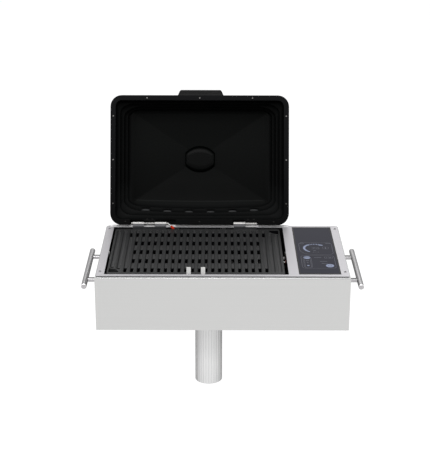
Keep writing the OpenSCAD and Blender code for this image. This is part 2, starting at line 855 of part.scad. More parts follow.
module power_board() {
    color("darkgreen") difference() {
        block([panel_x0 + 9, panel_y0 + 18, board_z], [panel_x1 - 9, panel_y1 - 18, board_z + board_t]);
        at_standoff_posts() cylinder(d = 3.4, h = 30, $fn = coarse);
    }
}

module board_relays() {
    z = board_z + board_t;
    mid = (panel_x0 + panel_x1) / 2;
    y0 = panel_y0;
    share = panel_y1 - panel_y0;
    relay_w = 20;
    relay_l = 28;
    fin_w = 40;
    color("dimgray") {
        for (y = [y0 + share * 0.18, y0 + share * 0.33])
            block([mid - relay_w - 2, y, z], [mid - 2, y + relay_l, z + 18]);
        block([mid + 4, y0 + share * 0.18, z], [mid + 4 + relay_w, y0 + share * 0.3, z + 26]);
        translate([mid + 14, y0 + share * 0.4, z]) cylinder(d = 18, h = 24, $fn = fine);
        for (i = [0:5])
            translate([mid, y0 + share * 0.75 + 6 * i, z]) block([-fin_w / 2, 0, 0], [fin_w / 2, 3, 20]);
    }
}

// Hinges

hinge_screw_d = 4;

module knuckle(x0, x1) {
    translate([x0, axis_y, axis_z]) rotate([0, 90, 0]) cylinder(r = knuckle_r, h = x1 - x0, $fn = fine);
}

module pin_bore(x0, x1) {
    translate([x0 - 1, axis_y, axis_z]) rotate([0, 90, 0]) cylinder(r = bore_r, h = x1 - x0 + 2, $fn = fine);
}

// The strap from the leaf in the well up to a knuckle
module base_strap(x0, x1) {
    in_y = well_y1 - leaf_t;
    translate([x0, 0, 0]) rotate([90, 0, 90]) linear_extrude(x1 - x0) polygon([
        [in_y, deck_z + leaf_up - 1],
        [well_y1 - gap, deck_z + leaf_up - 1],
        [axis_y - bore_r, axis_z - bore_r],
        [axis_y - knuckle_r, axis_z],
        [in_y, deck_z + leaf_up + 1.5]
    ]);
}

module base_leaf(x0, x1, knuckles) {
    color("silver") difference() {
        union() {
            block([x0, well_y1 - leaf_t, deck_z - leaf_down], [x1, well_y1, deck_z - gap]);
            block([x0, well_y1 - leaf_t, deck_z - 1], [x1, well_y1 - gap, deck_z + leaf_up]);
            for (k = knuckles) {
                knuckle(k[0], k[1]);
                base_strap(k[0], k[1]);
            }
        }
        pin_bore(x0, x1);
        at_hinge_screws() translate([0, 0, -8]) cylinder(d = hinge_screw_d + 0.3, h = 20, $fn = coarse);
    }
}

module hinge_base_left() {
    base_leaf(left_h0, left_h1, [
        [left_h0, left_h0 + left_k - knuckle_gap / 2],
        [left_h1 - left_k + knuckle_gap / 2, left_h1]
    ]);
}

module hinge_base_right() {
    base_leaf(right_h0, right_h1, [[right_h0, (right_h0 + right_h1 - knuckle_gap) / 2]]);
}

module hinge_screws() {
    color("silver") at_hinge_screws() screw(hinge_screw_d, leaf_t + well_t + 4, 7, 1.8);
}

module hinge_nuts() {
    color("silver") at_hinge_screws() translate([0, 0, -leaf_t - well_t - 3.2]) nut(hinge_screw_d, 7, 3.2);
}

module hinge_pin_right() {
    color("silver") translate([right_h0 - 1, axis_y, axis_z]) rotate([0, 90, 0])
        cylinder(r = pin_r, h = hinge_right_l + 2, $fn = fine);
}

// The lid's leaf, in the lid's frame: a plate on the liner's back wall and a strap to the knuckle
module lid_leaf(x0, x1) {
    color("silver") lid_place() difference() {
        union() {
            block([x0, leaf_y, -rim_z / 3], [x1, leaf_y + leaf_t, lid_leaf_h]);
            block([x0, leaf_y, knuckle_r - leaf_t], [x1, 0, knuckle_r]);
            translate([x0, 0, 0]) rotate([0, 90, 0]) cylinder(r = knuckle_r, h = x1 - x0, $fn = fine);
        }
        translate([x0 - 1, 0, 0]) rotate([0, 90, 0]) cylinder(r = bore_r, h = x1 - x0 + 2, $fn = fine);
        lid_rivet_holes();
    }
}

lid_left_k = [left_h0 + left_k + knuckle_gap / 2 - lid_cx, left_h1 - left_k - knuckle_gap / 2 - lid_cx];
lid_right_k = [(right_h0 + right_h1 + knuckle_gap) / 2 - lid_cx, right_h1 - lid_cx];
leaf_rivet_d = 3;
leaf_rivet_z = 8;

module at_leaf_rivets() {
    for (k = [lid_left_k, lid_right_k], s = [0.25, 0.75])
        translate([k[0] + (k[1] - k[0]) * s, leaf_y, leaf_rivet_z]) rotate([90, 0, 0]) children();
}

module lid_rivet_holes() {
    at_leaf_rivets() translate([0, 0, -10]) cylinder(d = leaf_rivet_d + 0.3, h = 20, $fn = coarse);
}

module hinge_lid_left() {
    lid_leaf(lid_left_k[0], lid_left_k[1]);
}

module hinge_lid_right() {
    lid_leaf(lid_right_k[0], lid_right_k[1]);
}

module hinge_rivets() {
    color("darkgray") lid_place() at_leaf_rivets() {
        translate([0, 0, liner_t]) cylinder(d1 = leaf_rivet_d + 2, d2 = leaf_rivet_d, h = 1, $fn = coarse);
        translate([0, 0, -leaf_t]) cylinder(d = leaf_rivet_d, h = leaf_t + liner_t, $fn = coarse);
        translate([0, 0, -leaf_t - 1]) cylinder(d = leaf_rivet_d + 2, h = 1, $fn = coarse);
    }
}

// The pull pin's frame: X along the pin to its bend, the lever in the XY plane
pin_bend = 4;
bend_lap = 0.05;
grip_l = 5.3;
lever_side = norm([lever_y, lever_z]);
lever_turn = atan2(lever_side, lever_x);
lever_start = pin_bend * tan(lever_turn / 2);

module pin_place() {
    translate([lever_x0, axis_y, axis_z]) rotate([atan2(-lever_z, -lever_y), 0, 0]) children();
}

module lever_place(s) {
    pin_place() rotate([0, 0, lever_turn]) translate([s, 0, 0]) rotate([0, 90, 0]) children();
}

module pull_pin() {
    straight = lever_x0 - lever_start - left_h0 + pin_end;
    color("silver") {
        pin_place() translate([-lever_start - straight, 0, 0]) rotate([0, 90, 0])
            cylinder(r = pin_r, h = straight + bend_lap, $fn = fine);
        pin_place() translate([-lever_start, pin_bend, 0]) rotate([0, 0, -90])
            rotate_extrude(angle = lever_turn, $fn = fine)
                translate([pin_bend, 0]) circle(pin_r - eps, $fn = fine);
        lever_place(lever_start - bend_lap)
            cylinder(r = pin_r, h = lever_l - lever_start + bend_lap, $fn = fine);
    }
}

// A moulded cap over the end of the lever
module pull_pin_grip() {
    grip_r = grip_d / 2;
    bore_fit = 0.02;
    color("orangered") difference() {
        lever_place(lever_l) rotate_extrude($fn = fine) {
            translate([0, -grip_l / 2]) square([grip_r, grip_l]);
            for (s = [-1, 1]) intersection() {
                translate([0, s * grip_l / 2]) circle(grip_r, $fn = fine);
                translate([0, -grip_l]) square([grip_r, 2 * grip_l]);
            }
        }
        lever_place(lever_start) cylinder(r = pin_r + bore_fit, h = lever_l - lever_start + bore_fit, $fn = fine);
    }
}

// Lid

rivet_hole_d = 3;
rivet_shank_d = 2.6;
rivet_head_h = 1;
rivet_inset = 6.5;
lever_slot_top = 1.3;
pocket_tab = 2.2;

module at_rim_rivets() {
    for (i = [-1:1]) {
        translate([i * rivet_front, lid_y0 + rivet_inset, rim_z]) children();
        translate([i * rivet_back, lid_behind - rivet_inset, rim_z]) children();
        for (side = [-1, 1])
            translate([side * (lid_w / 2 - rivet_inset), (lid_y0 + lid_behind) / 2 + i * rivet_side, rim_z])
                children();
    }
}

// Room for the hinges and for the swing and the pull of the pin's lever
module hinge_pockets(tab) {
    back = lid_behind + 1;
    front = leaf_y - liner_t;
    lever = lever_x0 - lid_cx;
    difference() {
        union() {
            block([left_h0 - pin_end - 2 - lid_cx, front + liner_t, rim_z - 1],
                [lever + lever_x + 7, back, pocket_top]);
            block([right_h0 - 2 - lid_cx, front + liner_t, rim_z - 1],
                [right_h1 + 2 - lid_cx, back, pocket_top]);
        }
        if (tab) for (k = [lid_left_k, lid_right_k])
            block([k[0], front, rim_z - 2], [k[1], -pocket_tab, flange_z]);
    }
    block([lever + 5, front - 5, rim_z - 1], [lever + lever_x + 6, back, rim_z + 4.1]);
    block([lever, 0.3, flange_z + shell_t], [lever + pin_travel + 8, back, lever_slot_top]);
}

module vents(z0, z1) {
    r = (vent_w * vent_w / 4 + vent_d * vent_d) / (2 * vent_d);
    chord_y = lid_behind - rim_w - 3 * ridge_w + 0.6;
    for (i = [0:vent_n - 1])
        translate([(i - (vent_n - 1) / 2) * vent_pitch, chord_y, z0]) linear_extrude(z1 - z0)
            intersection() {
                translate([0, vent_d - r]) circle(r, $fn = coarse);
                translate([-vent_w, 0]) square([2 * vent_w, vent_w]);
            }
}

module boss_shape(inset) {
    intersection() {
        square([boss_w - 2 * inset, 2 * boss_r], center = true);
        translate([0, -boss_off]) circle(boss_r - inset, $fn = 2 * coarse);
        translate([0, boss_off]) circle(boss_r - inset, $fn = 2 * coarse);
    }
}

module boss_prism(inset, z0, z1) {
    translate([0, roof_cy, z0]) linear_extrude(z1 - z0) boss_shape(inset);
}

roof_peak_share = 0.16;

module lid_shell() {
    base_in = shell_t;
    rise = shell_edge - rim_z - 4 * ridge_h;
    color([0.1, 0.1, 0.11]) lid_place() difference() {
        union() {
            skin(concat(
                [roof_loop(4 * ridge_w + base_in, base_in, ridge_r[4], shell_apex - shell_t, roof_peak_share)],
                flipped(ridges(base_in, rim_z + rise, -shell_t)),
                [lid_loop(base_in, base_in, lid_r - base_in, rim_z + rise - shell_t)],
                [lid_loop(base_in, base_in, lid_r - base_in, flange_z + shell_t)],
                [lid_loop(rim_w - 1, rim_w, lid_r - rim_w + 1, flange_z + shell_t)],
                [lid_loop(rim_w - 1, rim_w, lid_r - rim_w + 1, flange_z)],
                [lid_loop(0, 0, lid_r, flange_z)],
                [lid_loop(0, 0, lid_r, rim_z + rise)],
                ridges(0, rim_z + rise, 0),
                [roof_loop(4 * ridge_w, 0, ridge_r[4], shell_apex, roof_peak_share)]
            ));
            intersection() {
                boss_prism(-shell_t, shell_apex - recess_h - shell_t, shell_apex + 1);
                skin([
                    roof_loop(4 * ridge_w, 0, ridge_r[4], shell_edge, 1),
                    roof_loop(4 * ridge_w, 0, ridge_r[4], shell_apex, roof_peak_share)
                ]);
            }
        }
        boss_prism(0, shell_apex - recess_h, shell_apex + 5);
        hinge_pockets(false);
        at_rim_rivets() translate([0, 0, -1]) cylinder(d = rivet_hole_d, h = 8, $fn = 16);
        at_tab_screws() translate([0, 0, -5]) cylinder(d = tab_screw_d + 0.5, h = 10, $fn = coarse);
    }
}

module lid_liner() {
    t = liner_t;
    face_z = liner_apex - boss_h;
    color([0.13, 0.14, 0.14]) lid_place() difference() {
        union() {
            skin(concat(
                [roof_loop(roof_inset(), rim_w, ridge_r[4], liner_apex, roof_peak_share)],
                flipped(ridges(rim_w, rim_z + wall_h, 0)),
                [lid_loop(rim_w, rim_w, lid_r - rim_w, rim_z + wall_h)],
                [lid_loop(rim_w, rim_w, lid_r - rim_w, rim_z)],
                [lid_loop(0.6, rim_w, lid_r - 0.6, rim_z)],
                [lid_loop(0.6, rim_w, lid_r - 0.6, rim_z + t)],
                [lid_loop(rim_w - t, rim_w - t, lid_r - rim_w + t, rim_z + t)],
                [lid_loop(rim_w - t, rim_w - t, lid_r - rim_w + t, rim_z + wall_h + t)],
                ridges(rim_w - t, rim_z + wall_h, t),
                [roof_loop(roof_inset() - t, rim_w - t, ridge_r[4], liner_apex + t, roof_peak_share)]
            ));
            boss_prism(3, face_z, liner_apex);
            boss_prism(0, face_z + 3, liner_apex);
        }
        boss_prism(3 + t, face_z + t, liner_apex + 5);
        boss_prism(t, face_z + 3 + t, liner_apex + 5);
        hinge_pockets(true);
        vents(0, liner_apex + 5);
        at_rim_rivets() translate([0, 0, -1]) cylinder(d = rivet_hole_d, h = 8, $fn = 16);
        lid_rivet_holes();
    }
}

module rim_rivets() {
    color("silver") lid_place() at_rim_rivets() {
        translate([0, 0, -rivet_head_h]) cylinder(d1 = rivet_d * 0.6, d2 = rivet_d, h = rivet_head_h, $fn = coarse);
        cylinder(d = rivet_shank_d, h = liner_t + shell_t, $fn = coarse);
        translate([0, 0, liner_t + shell_t]) cylinder(d = rivet_d - 0.5, h = 1, $fn = coarse);
    }
}

tab_screw_d = 4;
tab_z = flange_z + 1.2;
tab_screw_pitch = 60;

module at_tab_screws() {
    for (side = [-1, 1])
        translate([tab_x + side * tab_screw_pitch / 2, lid_y0 + shell_t, tab_z + tab_t / 2])
            rotate([-90, 0, 0]) children();
}

// Grip on the lid's front wall: a tapered outline, rounded in side view, with finger grooves below
module lid_handle() {
    nose = tab_t / 2;
    color([0.08, 0.08, 0.08]) lid_place() difference() {
        intersection() {
            translate([tab_x, lid_y0, tab_z]) linear_extrude(tab_t) polygon([
                [-tab_w / 2, 0], [-tab_tip_w / 2 - 3, -tab_out + 3], [-tab_tip_w / 2, -tab_out],
                [tab_tip_w / 2, -tab_out], [tab_tip_w / 2 + 3, -tab_out + 3], [tab_w / 2, 0]
            ]);
            translate([tab_x - tab_w, lid_y0, tab_z]) rotate([90, 0, 90]) linear_extrude(2 * tab_w) {
                translate([nose - tab_out, nose]) circle(nose, $fn = fine);
                translate([nose - tab_out, 0]) square([tab_out - nose, tab_t]);
            }
        }
        for (k = [0:2])
            translate([tab_x - tab_w, lid_y0 - 3 - 2.6 * k, tab_z]) rotate([0, 90, 0])
                cylinder(r = 0.7, h = 2 * tab_w, $fn = 24);
        at_tab_screws() translate([0, 0, -9]) cylinder(d = tab_screw_d + 0.2, h = 12, $fn = coarse);
    }
}

module lid_handle_screws() {
    color("silver") lid_place() at_tab_screws() screw(tab_screw_d, 8, 7, 2);
}

// Grate

// Half of a channel's cross-section: a rounded mouth above a floor with rounded corners
module channel_half() {
    difference() {
        union() {
            translate([0, -channel_h + channel_floor_r]) square([channel_r, channel_h - channel_floor_r + 1]);
            translate([0, -channel_h]) square([channel_r - channel_floor_r, channel_h]);
            translate([0, -rib_edge_r]) square([mouth_r, rib_edge_r + 1]);
            translate([channel_r - channel_floor_r, -channel_h + channel_floor_r]) intersection() {
                circle(channel_floor_r, $fn = fine);
                translate([0, -channel_floor_r]) square(channel_floor_r);
            }
        }
        translate([mouth_r, -rib_edge_r]) circle(rib_edge_r, $fn = fine);
    }
}

module channel(x, y0, y1) {
    translate([x, y1, 0]) rotate([90, 0, 0]) linear_extrude(y1 - y0) {
        channel_half();
        mirror([1, 0]) channel_half();
    }
    translate([x, y0, 0]) rotate([0, 0, 180]) rotate_extrude(angle = 180, $fn = fine) channel_half();
    translate([x, y1, 0]) rotate_extrude(angle = 180, $fn = fine) channel_half();
}

// Where a channel may start, beside a drain whose corner is dx away
function channel_start(dx) =
    let (reach = drain_r + drain_lip + mouth_r)
    (dx < reach) ? max(mouth_r, sqrt(reach * reach - dx * dx)) : mouth_r;

module channels(w, d) {
    for (i = [-half_channels:half_channels - 1])
        let (x = (i + 0.5) * rib_pitch)
        channel(x, channel_front + channel_start(w / 2 - drain_side + x),
            d - channel_back - channel_start(w / 2 - drain_side - x));
}

module slots() {
    for (row = [0:slot_rows - 1]) {
        outer = (row == 0 || row == slot_rows - 1);
        n = outer ? slot_columns : slot_columns - 1;
        for (i = [-n:n - 1])
            translate([(i + 0.5) * rib_pitch - slot_w / 2, slot_front + row * slot_pitch - slot_l / 2])
                square([slot_w, slot_l]);
    }
}

// A quarter round at the front left corner and its twin at the back right
module at_drains() {
    w = grate_x1 - grate_x0;
    d = grate_y1 - grate_y0;
    translate([-w / 2 + drain_side, channel_front, 0]) children();
    translate([w / 2 - drain_side, d - channel_back, 0]) rotate([0, 0, 180]) children();
}

module quarter(r, z0, z1) {
    translate([0, 0, z0]) linear_extrude(z1 - z0) intersection() {
        circle(r, $fn = 2 * fine);
        square(r + 1);
    }
}

module grate() {
    w = grate_x1 - grate_x0;
    d = grate_y1 - grate_y0;
    floor_z = -grate_h + grate_hollow;
    color([0.22, 0.22, 0.23]) translate([grate_cx, grate_y0, grate_top]) difference() {
        plate([-w / 2, 0, -grate_h], [w / 2, d], grate_r, grate_h);
        channels(w, d);
        at_drains() quarter(drain_r, -grate_h - 1, 2);
        translate([0, 0, -grate_h - 1]) linear_extrude(grate_h) slots();
        difference() {
            block([-w / 2 + grate_rim, grate_rim, -grate_h - 1], [w / 2 - grate_rim, d - grate_rim, floor_z]);
            at_drains() quarter(drain_r + drain_lip, -grate_h - 2, floor_z + 1);
        }
    }
}

// Lid catches: folded spring strips at the well's front wall

module catch(x) {
    foot = well_y0 + gap;
    lean = 1.6;
    bulge = 4;
    color("silver") translate([x - catch_w / 2, 0, deck_z]) rotate([90, 0, 90]) linear_extrude(catch_w)
        polygon([
            [foot + gap, -catch_down],
            [foot + gap, -1],
            [foot + gap - lean, bulge],
            [foot + gap, catch_up],
            [foot + gap + catch_t, catch_up],
            [foot + gap - lean + catch_t, bulge],
            [foot + gap + catch_t, -1],
            [foot + gap + catch_t, -catch_down]
        ]);
}

module catch_left() {
    catch(lid_cx + catch_x - catch_pitch / 2);
}

module catch_right() {
    catch(lid_cx + catch_x + catch_pitch / 2);
}

// Side handles

module side_handle(side) {
    x = body_x + side * body_w / 2;
    color("silver") translate([x, 0, deck_z - handle_drop]) difference() {
        union() {
            translate([side * handle_out, -handle_l / 2, 0]) rotate([-90, 0, 0]) bar();
            for (y = [-standoff_pitch / 2, standoff_pitch / 2])
                translate([0, y, 0]) rotate([0, 90 * side, 0])
                    cylinder(d = standoff_d, h = handle_out, $fn = fine);
        }
        for (y = [-standoff_pitch / 2, standoff_pitch / 2])
            translate([-side, y, 0]) rotate([0, 90 * side, 0])
                cylinder(d = handle_screw_d + 0.2, h = 13, $fn = coarse);
    }
}

module bar() {
    edge = 1;
    cylinder(d1 = bar_d - 2 * edge, d2 = bar_d, h = edge, $fn = fine);
    translate([0, 0, edge]) cylinder(d = bar_d, h = handle_l - 2 * edge, $fn = fine);
    translate([0, 0, handle_l - edge]) cylinder(d1 = bar_d, d2 = bar_d - 2 * edge, h = edge, $fn = fine);
}

module side_handle_left() {
    side_handle(-1);
}

module side_handle_right() {
    side_handle(1);
}

module side_handle_screws() {
    color("silver") at_standoffs() translate([0, 0, -sheet_t]) rotate([180, 0, 0])
        screw(handle_screw_d, sheet_t + 10, 9, 3);
}

// Post

module post() {
    color("lightgray") linear_extrude(post_l) difference() {
        circle(post_r, $fn = 2 * fine);
        circle(d = post_bore, $fn = 2 * fine);
        for (i = [0:flute_n - 1]) rotate(360 * i / flute_n)
            translate([post_r + flute_r * 0.45, 0]) circle(flute_r, $fn = coarse);
    }
}

module at_socket_bolts() {
    for (x = [-bolt_pitch / 2, bolt_pitch / 2], y = [-bolt_pitch / 2, bolt_pitch / 2])
        translate([x, y, plate_z]) children();
}

set_screw_d = 8;

module at_set_screws() {
    for (i = [0:2]) rotate([0, 0, 90 + 120 * i]) translate([post_r, 0, post_l - neck_l / 2])
        rotate([0, 90, 0]) children();
}

module post_socket() {
    color("darkgray") difference() {
        union() {
            plate([-socket_w / 2, -socket_w / 2, post_l], [socket_w / 2, socket_w / 2], 12, socket_t);
            translate([0, 0, post_l - neck_l]) cylinder(r = neck_r, h = neck_l, $fn = 2 * fine);
            for (i = [0:3]) rotate([90, 0, 45 + 90 * i]) translate([0, 0, -3]) linear_extrude(6)
                polygon([[neck_r - 2, post_l], [neck_r + 34, post_l], [neck_r - 2, post_l - neck_l + 8]]);
        }
        translate([0, 0, post_l - neck_l - 1])
            cylinder(r = post_r + post_fit, h = neck_l + 1, $fn = 2 * fine);
        translate([0, 0, post_l - 1]) cylinder(d = 30, h = socket_t + 2, $fn = fine);
        at_socket_bolts() translate([0, 0, -20]) cylinder(d = bolt_d + 0.5, h = 40, $fn = coarse);
        at_set_screws() cylinder(d = set_screw_d + 0.2, h = 30, $fn = coarse);
    }
}

module socket_bolts() {
    color("silver") at_socket_bolts() translate([0, 0, -socket_t]) rotate([180, 0, 0]) {
        translate([0, 0, -socket_t - bottom_t - 9]) cylinder(d = bolt_d, h = socket_t + bottom_t + 9, $fn = coarse);
        cylinder(d = 15, h = 5.3, $fn = 6);
    }
}

module socket_nuts() {
    color("silver") at_socket_bolts() translate([0, 0, bottom_t]) nut(bolt_d, 13, 6.5);
}

module socket_set_screws() {
    color("dimgray") at_set_screws() difference() {
        translate([0, 0, 0.05]) cylinder(d = set_screw_d, h = neck_t + 1.5, $fn = coarse);
        translate([0, 0, neck_t - 2]) cylinder(d = 4.6, h = 10, $fn = 6);
    }
}

// Gland for the cable that comes up inside the post

module cord_gland() {
    color("black") translate([gland_x, gland_y, plate_z]) difference() {
        union() {
            translate([0, 0, bottom_t]) cylinder(d = 24, h = 6, $fn = 6);
            translate([0, 0, bottom_t + 6]) cylinder(d1 = 20, d2 = 14, h = 9, $fn = fine);
            translate([0, 0, -5]) cylinder(d = gland_d, h = 5 + bottom_t, $fn = fine);
        }
        translate([0, 0, -10]) cylinder(d = 9, h = 40, $fn = fine);
    }
}

module gland_nut() {
    color("black") translate([gland_x, gland_y, plate_z - 4]) nut(gland_d, 21, 4);
}

housing_shell();
bottom_plate();
bottom_screws();
deck_frame();
deck_gasket();
deck_screws();
deck_nuts();
well_pan();
insulation_board();
drip_tray();
heating_element();
element_supports();
grate_brackets();
terminal_block();
thermal_cutout();
temperature_probe();
probe_grommet();
touch_glass();
glass_seal();
control_tray();
touch_board();
power_board();
board_relays();
board_standoffs();
hinge_base_left();
hinge_base_right();
hinge_screws();
hinge_nuts();
hinge_pin_right();
side_handle_left();
side_handle_right();
side_handle_screws();
post();
post_socket();
socket_bolts();
socket_nuts();
socket_set_screws();
cord_gland();
gland_nut();
lid_shell();
lid_liner();
rim_rivets();
lid_handle();
lid_handle_screws();
hinge_lid_left();
hinge_lid_right();
hinge_rivets();
grate();
pull_pin();
pull_pin_grip();
catch_left();
catch_right();
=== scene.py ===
import math

import bmesh
import bpy
from mathutils import Matrix, Vector


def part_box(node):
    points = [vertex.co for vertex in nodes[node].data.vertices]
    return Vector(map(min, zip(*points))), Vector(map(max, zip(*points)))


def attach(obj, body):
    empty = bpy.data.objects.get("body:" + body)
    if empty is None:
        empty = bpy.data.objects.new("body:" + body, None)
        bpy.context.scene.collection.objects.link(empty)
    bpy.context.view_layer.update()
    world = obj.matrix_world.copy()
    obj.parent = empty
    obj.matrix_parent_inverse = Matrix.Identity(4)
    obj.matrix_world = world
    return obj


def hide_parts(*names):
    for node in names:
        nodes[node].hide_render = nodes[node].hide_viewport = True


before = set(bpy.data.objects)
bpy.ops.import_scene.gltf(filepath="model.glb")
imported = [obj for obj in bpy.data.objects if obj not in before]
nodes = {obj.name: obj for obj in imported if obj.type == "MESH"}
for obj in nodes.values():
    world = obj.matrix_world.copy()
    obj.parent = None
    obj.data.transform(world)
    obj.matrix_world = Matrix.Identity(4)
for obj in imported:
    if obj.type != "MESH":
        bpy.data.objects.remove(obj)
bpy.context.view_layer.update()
print("frame loaded with", len(nodes), "nodes")

mm = 0.001


# Node trees

def join(tree, end, socket):
    # a link from a socket, or else a plain value
    if hasattr(end, "is_linked"):
        tree.links.new(end, socket)
    else:
        socket.default_value = end


def addNode(tree, kind, inputs=None, **settings):
    # settings come first, because they can change which inputs the node has
    node = tree.nodes.new(kind)
    for key, value in settings.items():
        setattr(node, key, value)
    for label, end in (inputs or {}).items():
        join(tree, end, node.inputs[label])
    return node


def newGroup(name, kind, inputs, outputs):
    # the group, what it is given and what it puts out
    group = bpy.data.node_groups.new(name, kind)
    for label, socketType, value in inputs:
        socket = group.interface.new_socket(label, in_out="INPUT", socket_type=socketType)
        if value is not None:
            socket.default_value = value
    for label, socketType in outputs:
        group.interface.new_socket(label, in_out="OUTPUT", socket_type=socketType)
    given = group.nodes.new("NodeGroupInput").outputs
    return group, given, group.nodes.new("NodeGroupOutput").inputs


def arith(tree, op, a, b):
    return addNode(tree, "ShaderNodeMath", {0: a, 1: b}, operation=op).outputs[0]


def spread(tree, value, low, high):
    # a 0 to 1 value stretched to low and high
    return addNode(tree, "ShaderNodeMapRange", {"Value": value, "To Min": low, "To Max": high}).outputs[0]


def tinted(tree, color, factor):
    # 6 and 7 are the node's two colours
    sockets = {"Factor": 1, 6: color, 7: factor}
    return addNode(tree, "ShaderNodeMix", sockets, data_type="RGBA", blend_type="MULTIPLY").outputs[2]


def gray(value):
    return (value,) * 3 + (1,)


# Camera, floor and light

photoView = {
    "place": (0.0154, -2.4841, 1.3216),
    "turn": -0.04,
    "down": 21.14,
    "tilt": 0.12,
    "lens": 95.82,
}


def makeCamera(view):
    turn, down, tilt = (math.radians(view[k]) for k in ("turn", "down", "tilt"))
    ahead = Vector((math.sin(turn) * math.cos(down), math.cos(turn) * math.cos(down), -math.sin(down)))
    side = Vector((math.cos(turn), -math.sin(turn), 0))
    up = side.cross(ahead)
    right = side * math.cos(tilt) + up * math.sin(tilt)
    top = up * math.cos(tilt) - side * math.sin(tilt)
    camera = bpy.data.objects.new("camera", bpy.data.cameras.new("camera"))
    bpy.context.scene.collection.objects.link(camera)
    basis = Matrix((right, top, -ahead)).transposed().to_4x4()
    camera.matrix_world = Matrix.Translation(view["place"]) @ basis
    camera.data.sensor_width = 36
    camera.data.lens = view["lens"]
    camera.data.clip_end = 50
    bpy.context.scene.camera = camera


def pathMask(tree):
    # 1 for rays that should see a white surround
    path = addNode(tree, "ShaderNodeLightPath").outputs
    direct = arith(tree, "MAXIMUM", path["Is Camera Ray"], path["Is Glossy Ray"])
    return arith(tree, "MAXIMUM", direct, path["Is Transmission Ray"])


def splitByPath(tree, unseen, seen, outKind):
    # one shader for the light that falls on the object, one for what is seen
    ends = {0: pathMask(tree), 1: unseen.outputs[0], 2: seen.outputs[0]}
    pick = addNode(tree, "ShaderNodeMixShader", ends)
    addNode(tree, outKind, {0: pick.outputs[0]})


surround = {
    "floorSize": 14, "floorSink": 0.0005, "floorColor": 0.80, "floorShare": 0.30, "glow": 0.90,
    "world": 0.36,
}


def makeFloor(cfg):
    mesh = bpy.data.meshes.new("studioFloor")
    s = cfg["floorSize"] / 2
    mesh.from_pydata([(-s, -s, 0), (s, -s, 0), (s, s, 0), (-s, s, 0)], [], [(0, 1, 2, 3)])
    floor = bpy.data.objects.new("studioFloor", mesh)
    floor.location.z = -cfg["floorSink"]
    bpy.context.scene.collection.objects.link(floor)
    mat = bpy.data.materials.new("paleFloor")
    mat.use_nodes = True
    tree = mat.node_tree
    tree.nodes.clear()
    plain = addNode(tree, "ShaderNodeBsdfDiffuse", {"Color": gray(cfg["floorColor"])})
    seen = addNode(tree, "ShaderNodeBsdfDiffuse", {"Color": gray(cfg["floorShare"])})
    glow = addNode(tree, "ShaderNodeEmission", {"Strength": cfg["glow"]})
    both = addNode(tree, "ShaderNodeAddShader", {0: seen.outputs[0], 1: glow.outputs[0]})
    splitByPath(tree, plain, both, "ShaderNodeOutputMaterial")
    mesh.materials.append(mat)


def makeWorld(cfg):
    world = bpy.data.worlds.new("studio")
    bpy.context.scene.world = world
    world.use_nodes = True
    tree = world.node_tree
    tree.nodes.clear()
    fill = addNode(tree, "ShaderNodeBackground", {"Color": gray(1), "Strength": cfg["world"]})
    white = addNode(tree, "ShaderNodeBackground", {"Color": gray(1), "Strength": 1})
    splitByPath(tree, fill, white, "ShaderNodeOutputWorld")


lamps = [
    {"name": "keyPanel", "place": (-0.25, -1.6, 2.4), "aim": (0, 0, 0.35), "size": 1.4, "watts": 30},
    {"name": "fillPanel", "place": (1.6, -1.2, 1.4), "aim": (0, 0, 0.3), "size": 1.2, "watts": 8},
    {"name": "sidePanel", "place": (-1.6, -1.2, 1.4), "aim": (0, 0, 0.3), "size": 1.2, "watts": 9},
    {"name": "backPanel", "place": (0.2, 1.6, 2.0), "aim": (0, 0, 0.4), "size": 1.2, "watts": 9},
]


def makeLamps(rows):
    for row in rows:
        data = bpy.data.lights.new(row["name"], "AREA")
        data.shape = "SQUARE"
        data.size = row["size"]
        data.energy = row["watts"]
        lamp = bpy.data.objects.new(row["name"], data)
        lamp.location = row["place"]
        toAim = Vector(row["aim"]) - Vector(row["place"])
        lamp.rotation_euler = toAim.to_track_quat("-Z", "Y").to_euler()
        bpy.context.scene.collection.objects.link(lamp)


makeCamera(photoView)
makeFloor(surround)
makeWorld(surround)
makeLamps(lamps)
bpy.context.scene.view_settings.view_transform = "Standard"
print("camera, floor and lamps made")


# Finishes

surfaceOut = [("Color", "NodeSocketColor"), ("Roughness", "NodeSocketFloat"), ("Height", "NodeSocketFloat")]


def shaded(tree, color, noise, tint):
    # lighter and darker with a noise, by the tint's share
    less = arith(tree, "SUBTRACT", 1, tint)
    more = arith(tree, "ADD", 1, tint)
    return tinted(tree, color, spread(tree, noise, less, more))


def wander(tree, noise, amount):
    # a noise moved to either side of zero
    return arith(tree, "MULTIPLY", arith(tree, "SUBTRACT", noise, 0.5), amount)


def makeBrushedGrain():
    tree, given, done = newGroup("brushedGrain", "ShaderNodeTree", [
        ("Color", "NodeSocketColor", (0.6, 0.6, 0.6, 1)),
        ("Grain", "NodeSocketVector", (3, 3, 800)),
        ("Tint", "NodeSocketFloat", 0.06),
        ("Roughness", "NodeSocketFloat", 0.3),
        ("Smudges", "NodeSocketFloat", 0.06),
        ("Streaks", "NodeSocketFloat", 0.12),
    ], surfaceOut)
    place = addNode(tree, "ShaderNodeTexCoord").outputs["Object"]
    stretch = addNode(tree, "ShaderNodeMapping", {"Vector": place, "Scale": given["Grain"]})
    lines = addNode(tree, "ShaderNodeTexNoise", {"Vector": stretch.outputs[0], "Scale": 1, "Detail": 3})
    cloud = addNode(tree, "ShaderNodeTexNoise", {"Vector": place, "Scale": 9, "Detail": 4})
    smudge = wander(tree, cloud.outputs["Fac"], given["Smudges"])
    streak = wander(tree, lines.outputs["Fac"], given["Streaks"])
    join(tree, shaded(tree, given["Color"], lines.outputs["Fac"], given["Tint"]), done["Color"])
    uneven = arith(tree, "ADD", smudge, streak)
    join(tree, arith(tree, "ADD", given["Roughness"], uneven), done["Roughness"])
    join(tree, lines.outputs["Fac"], done["Height"])
    return tree


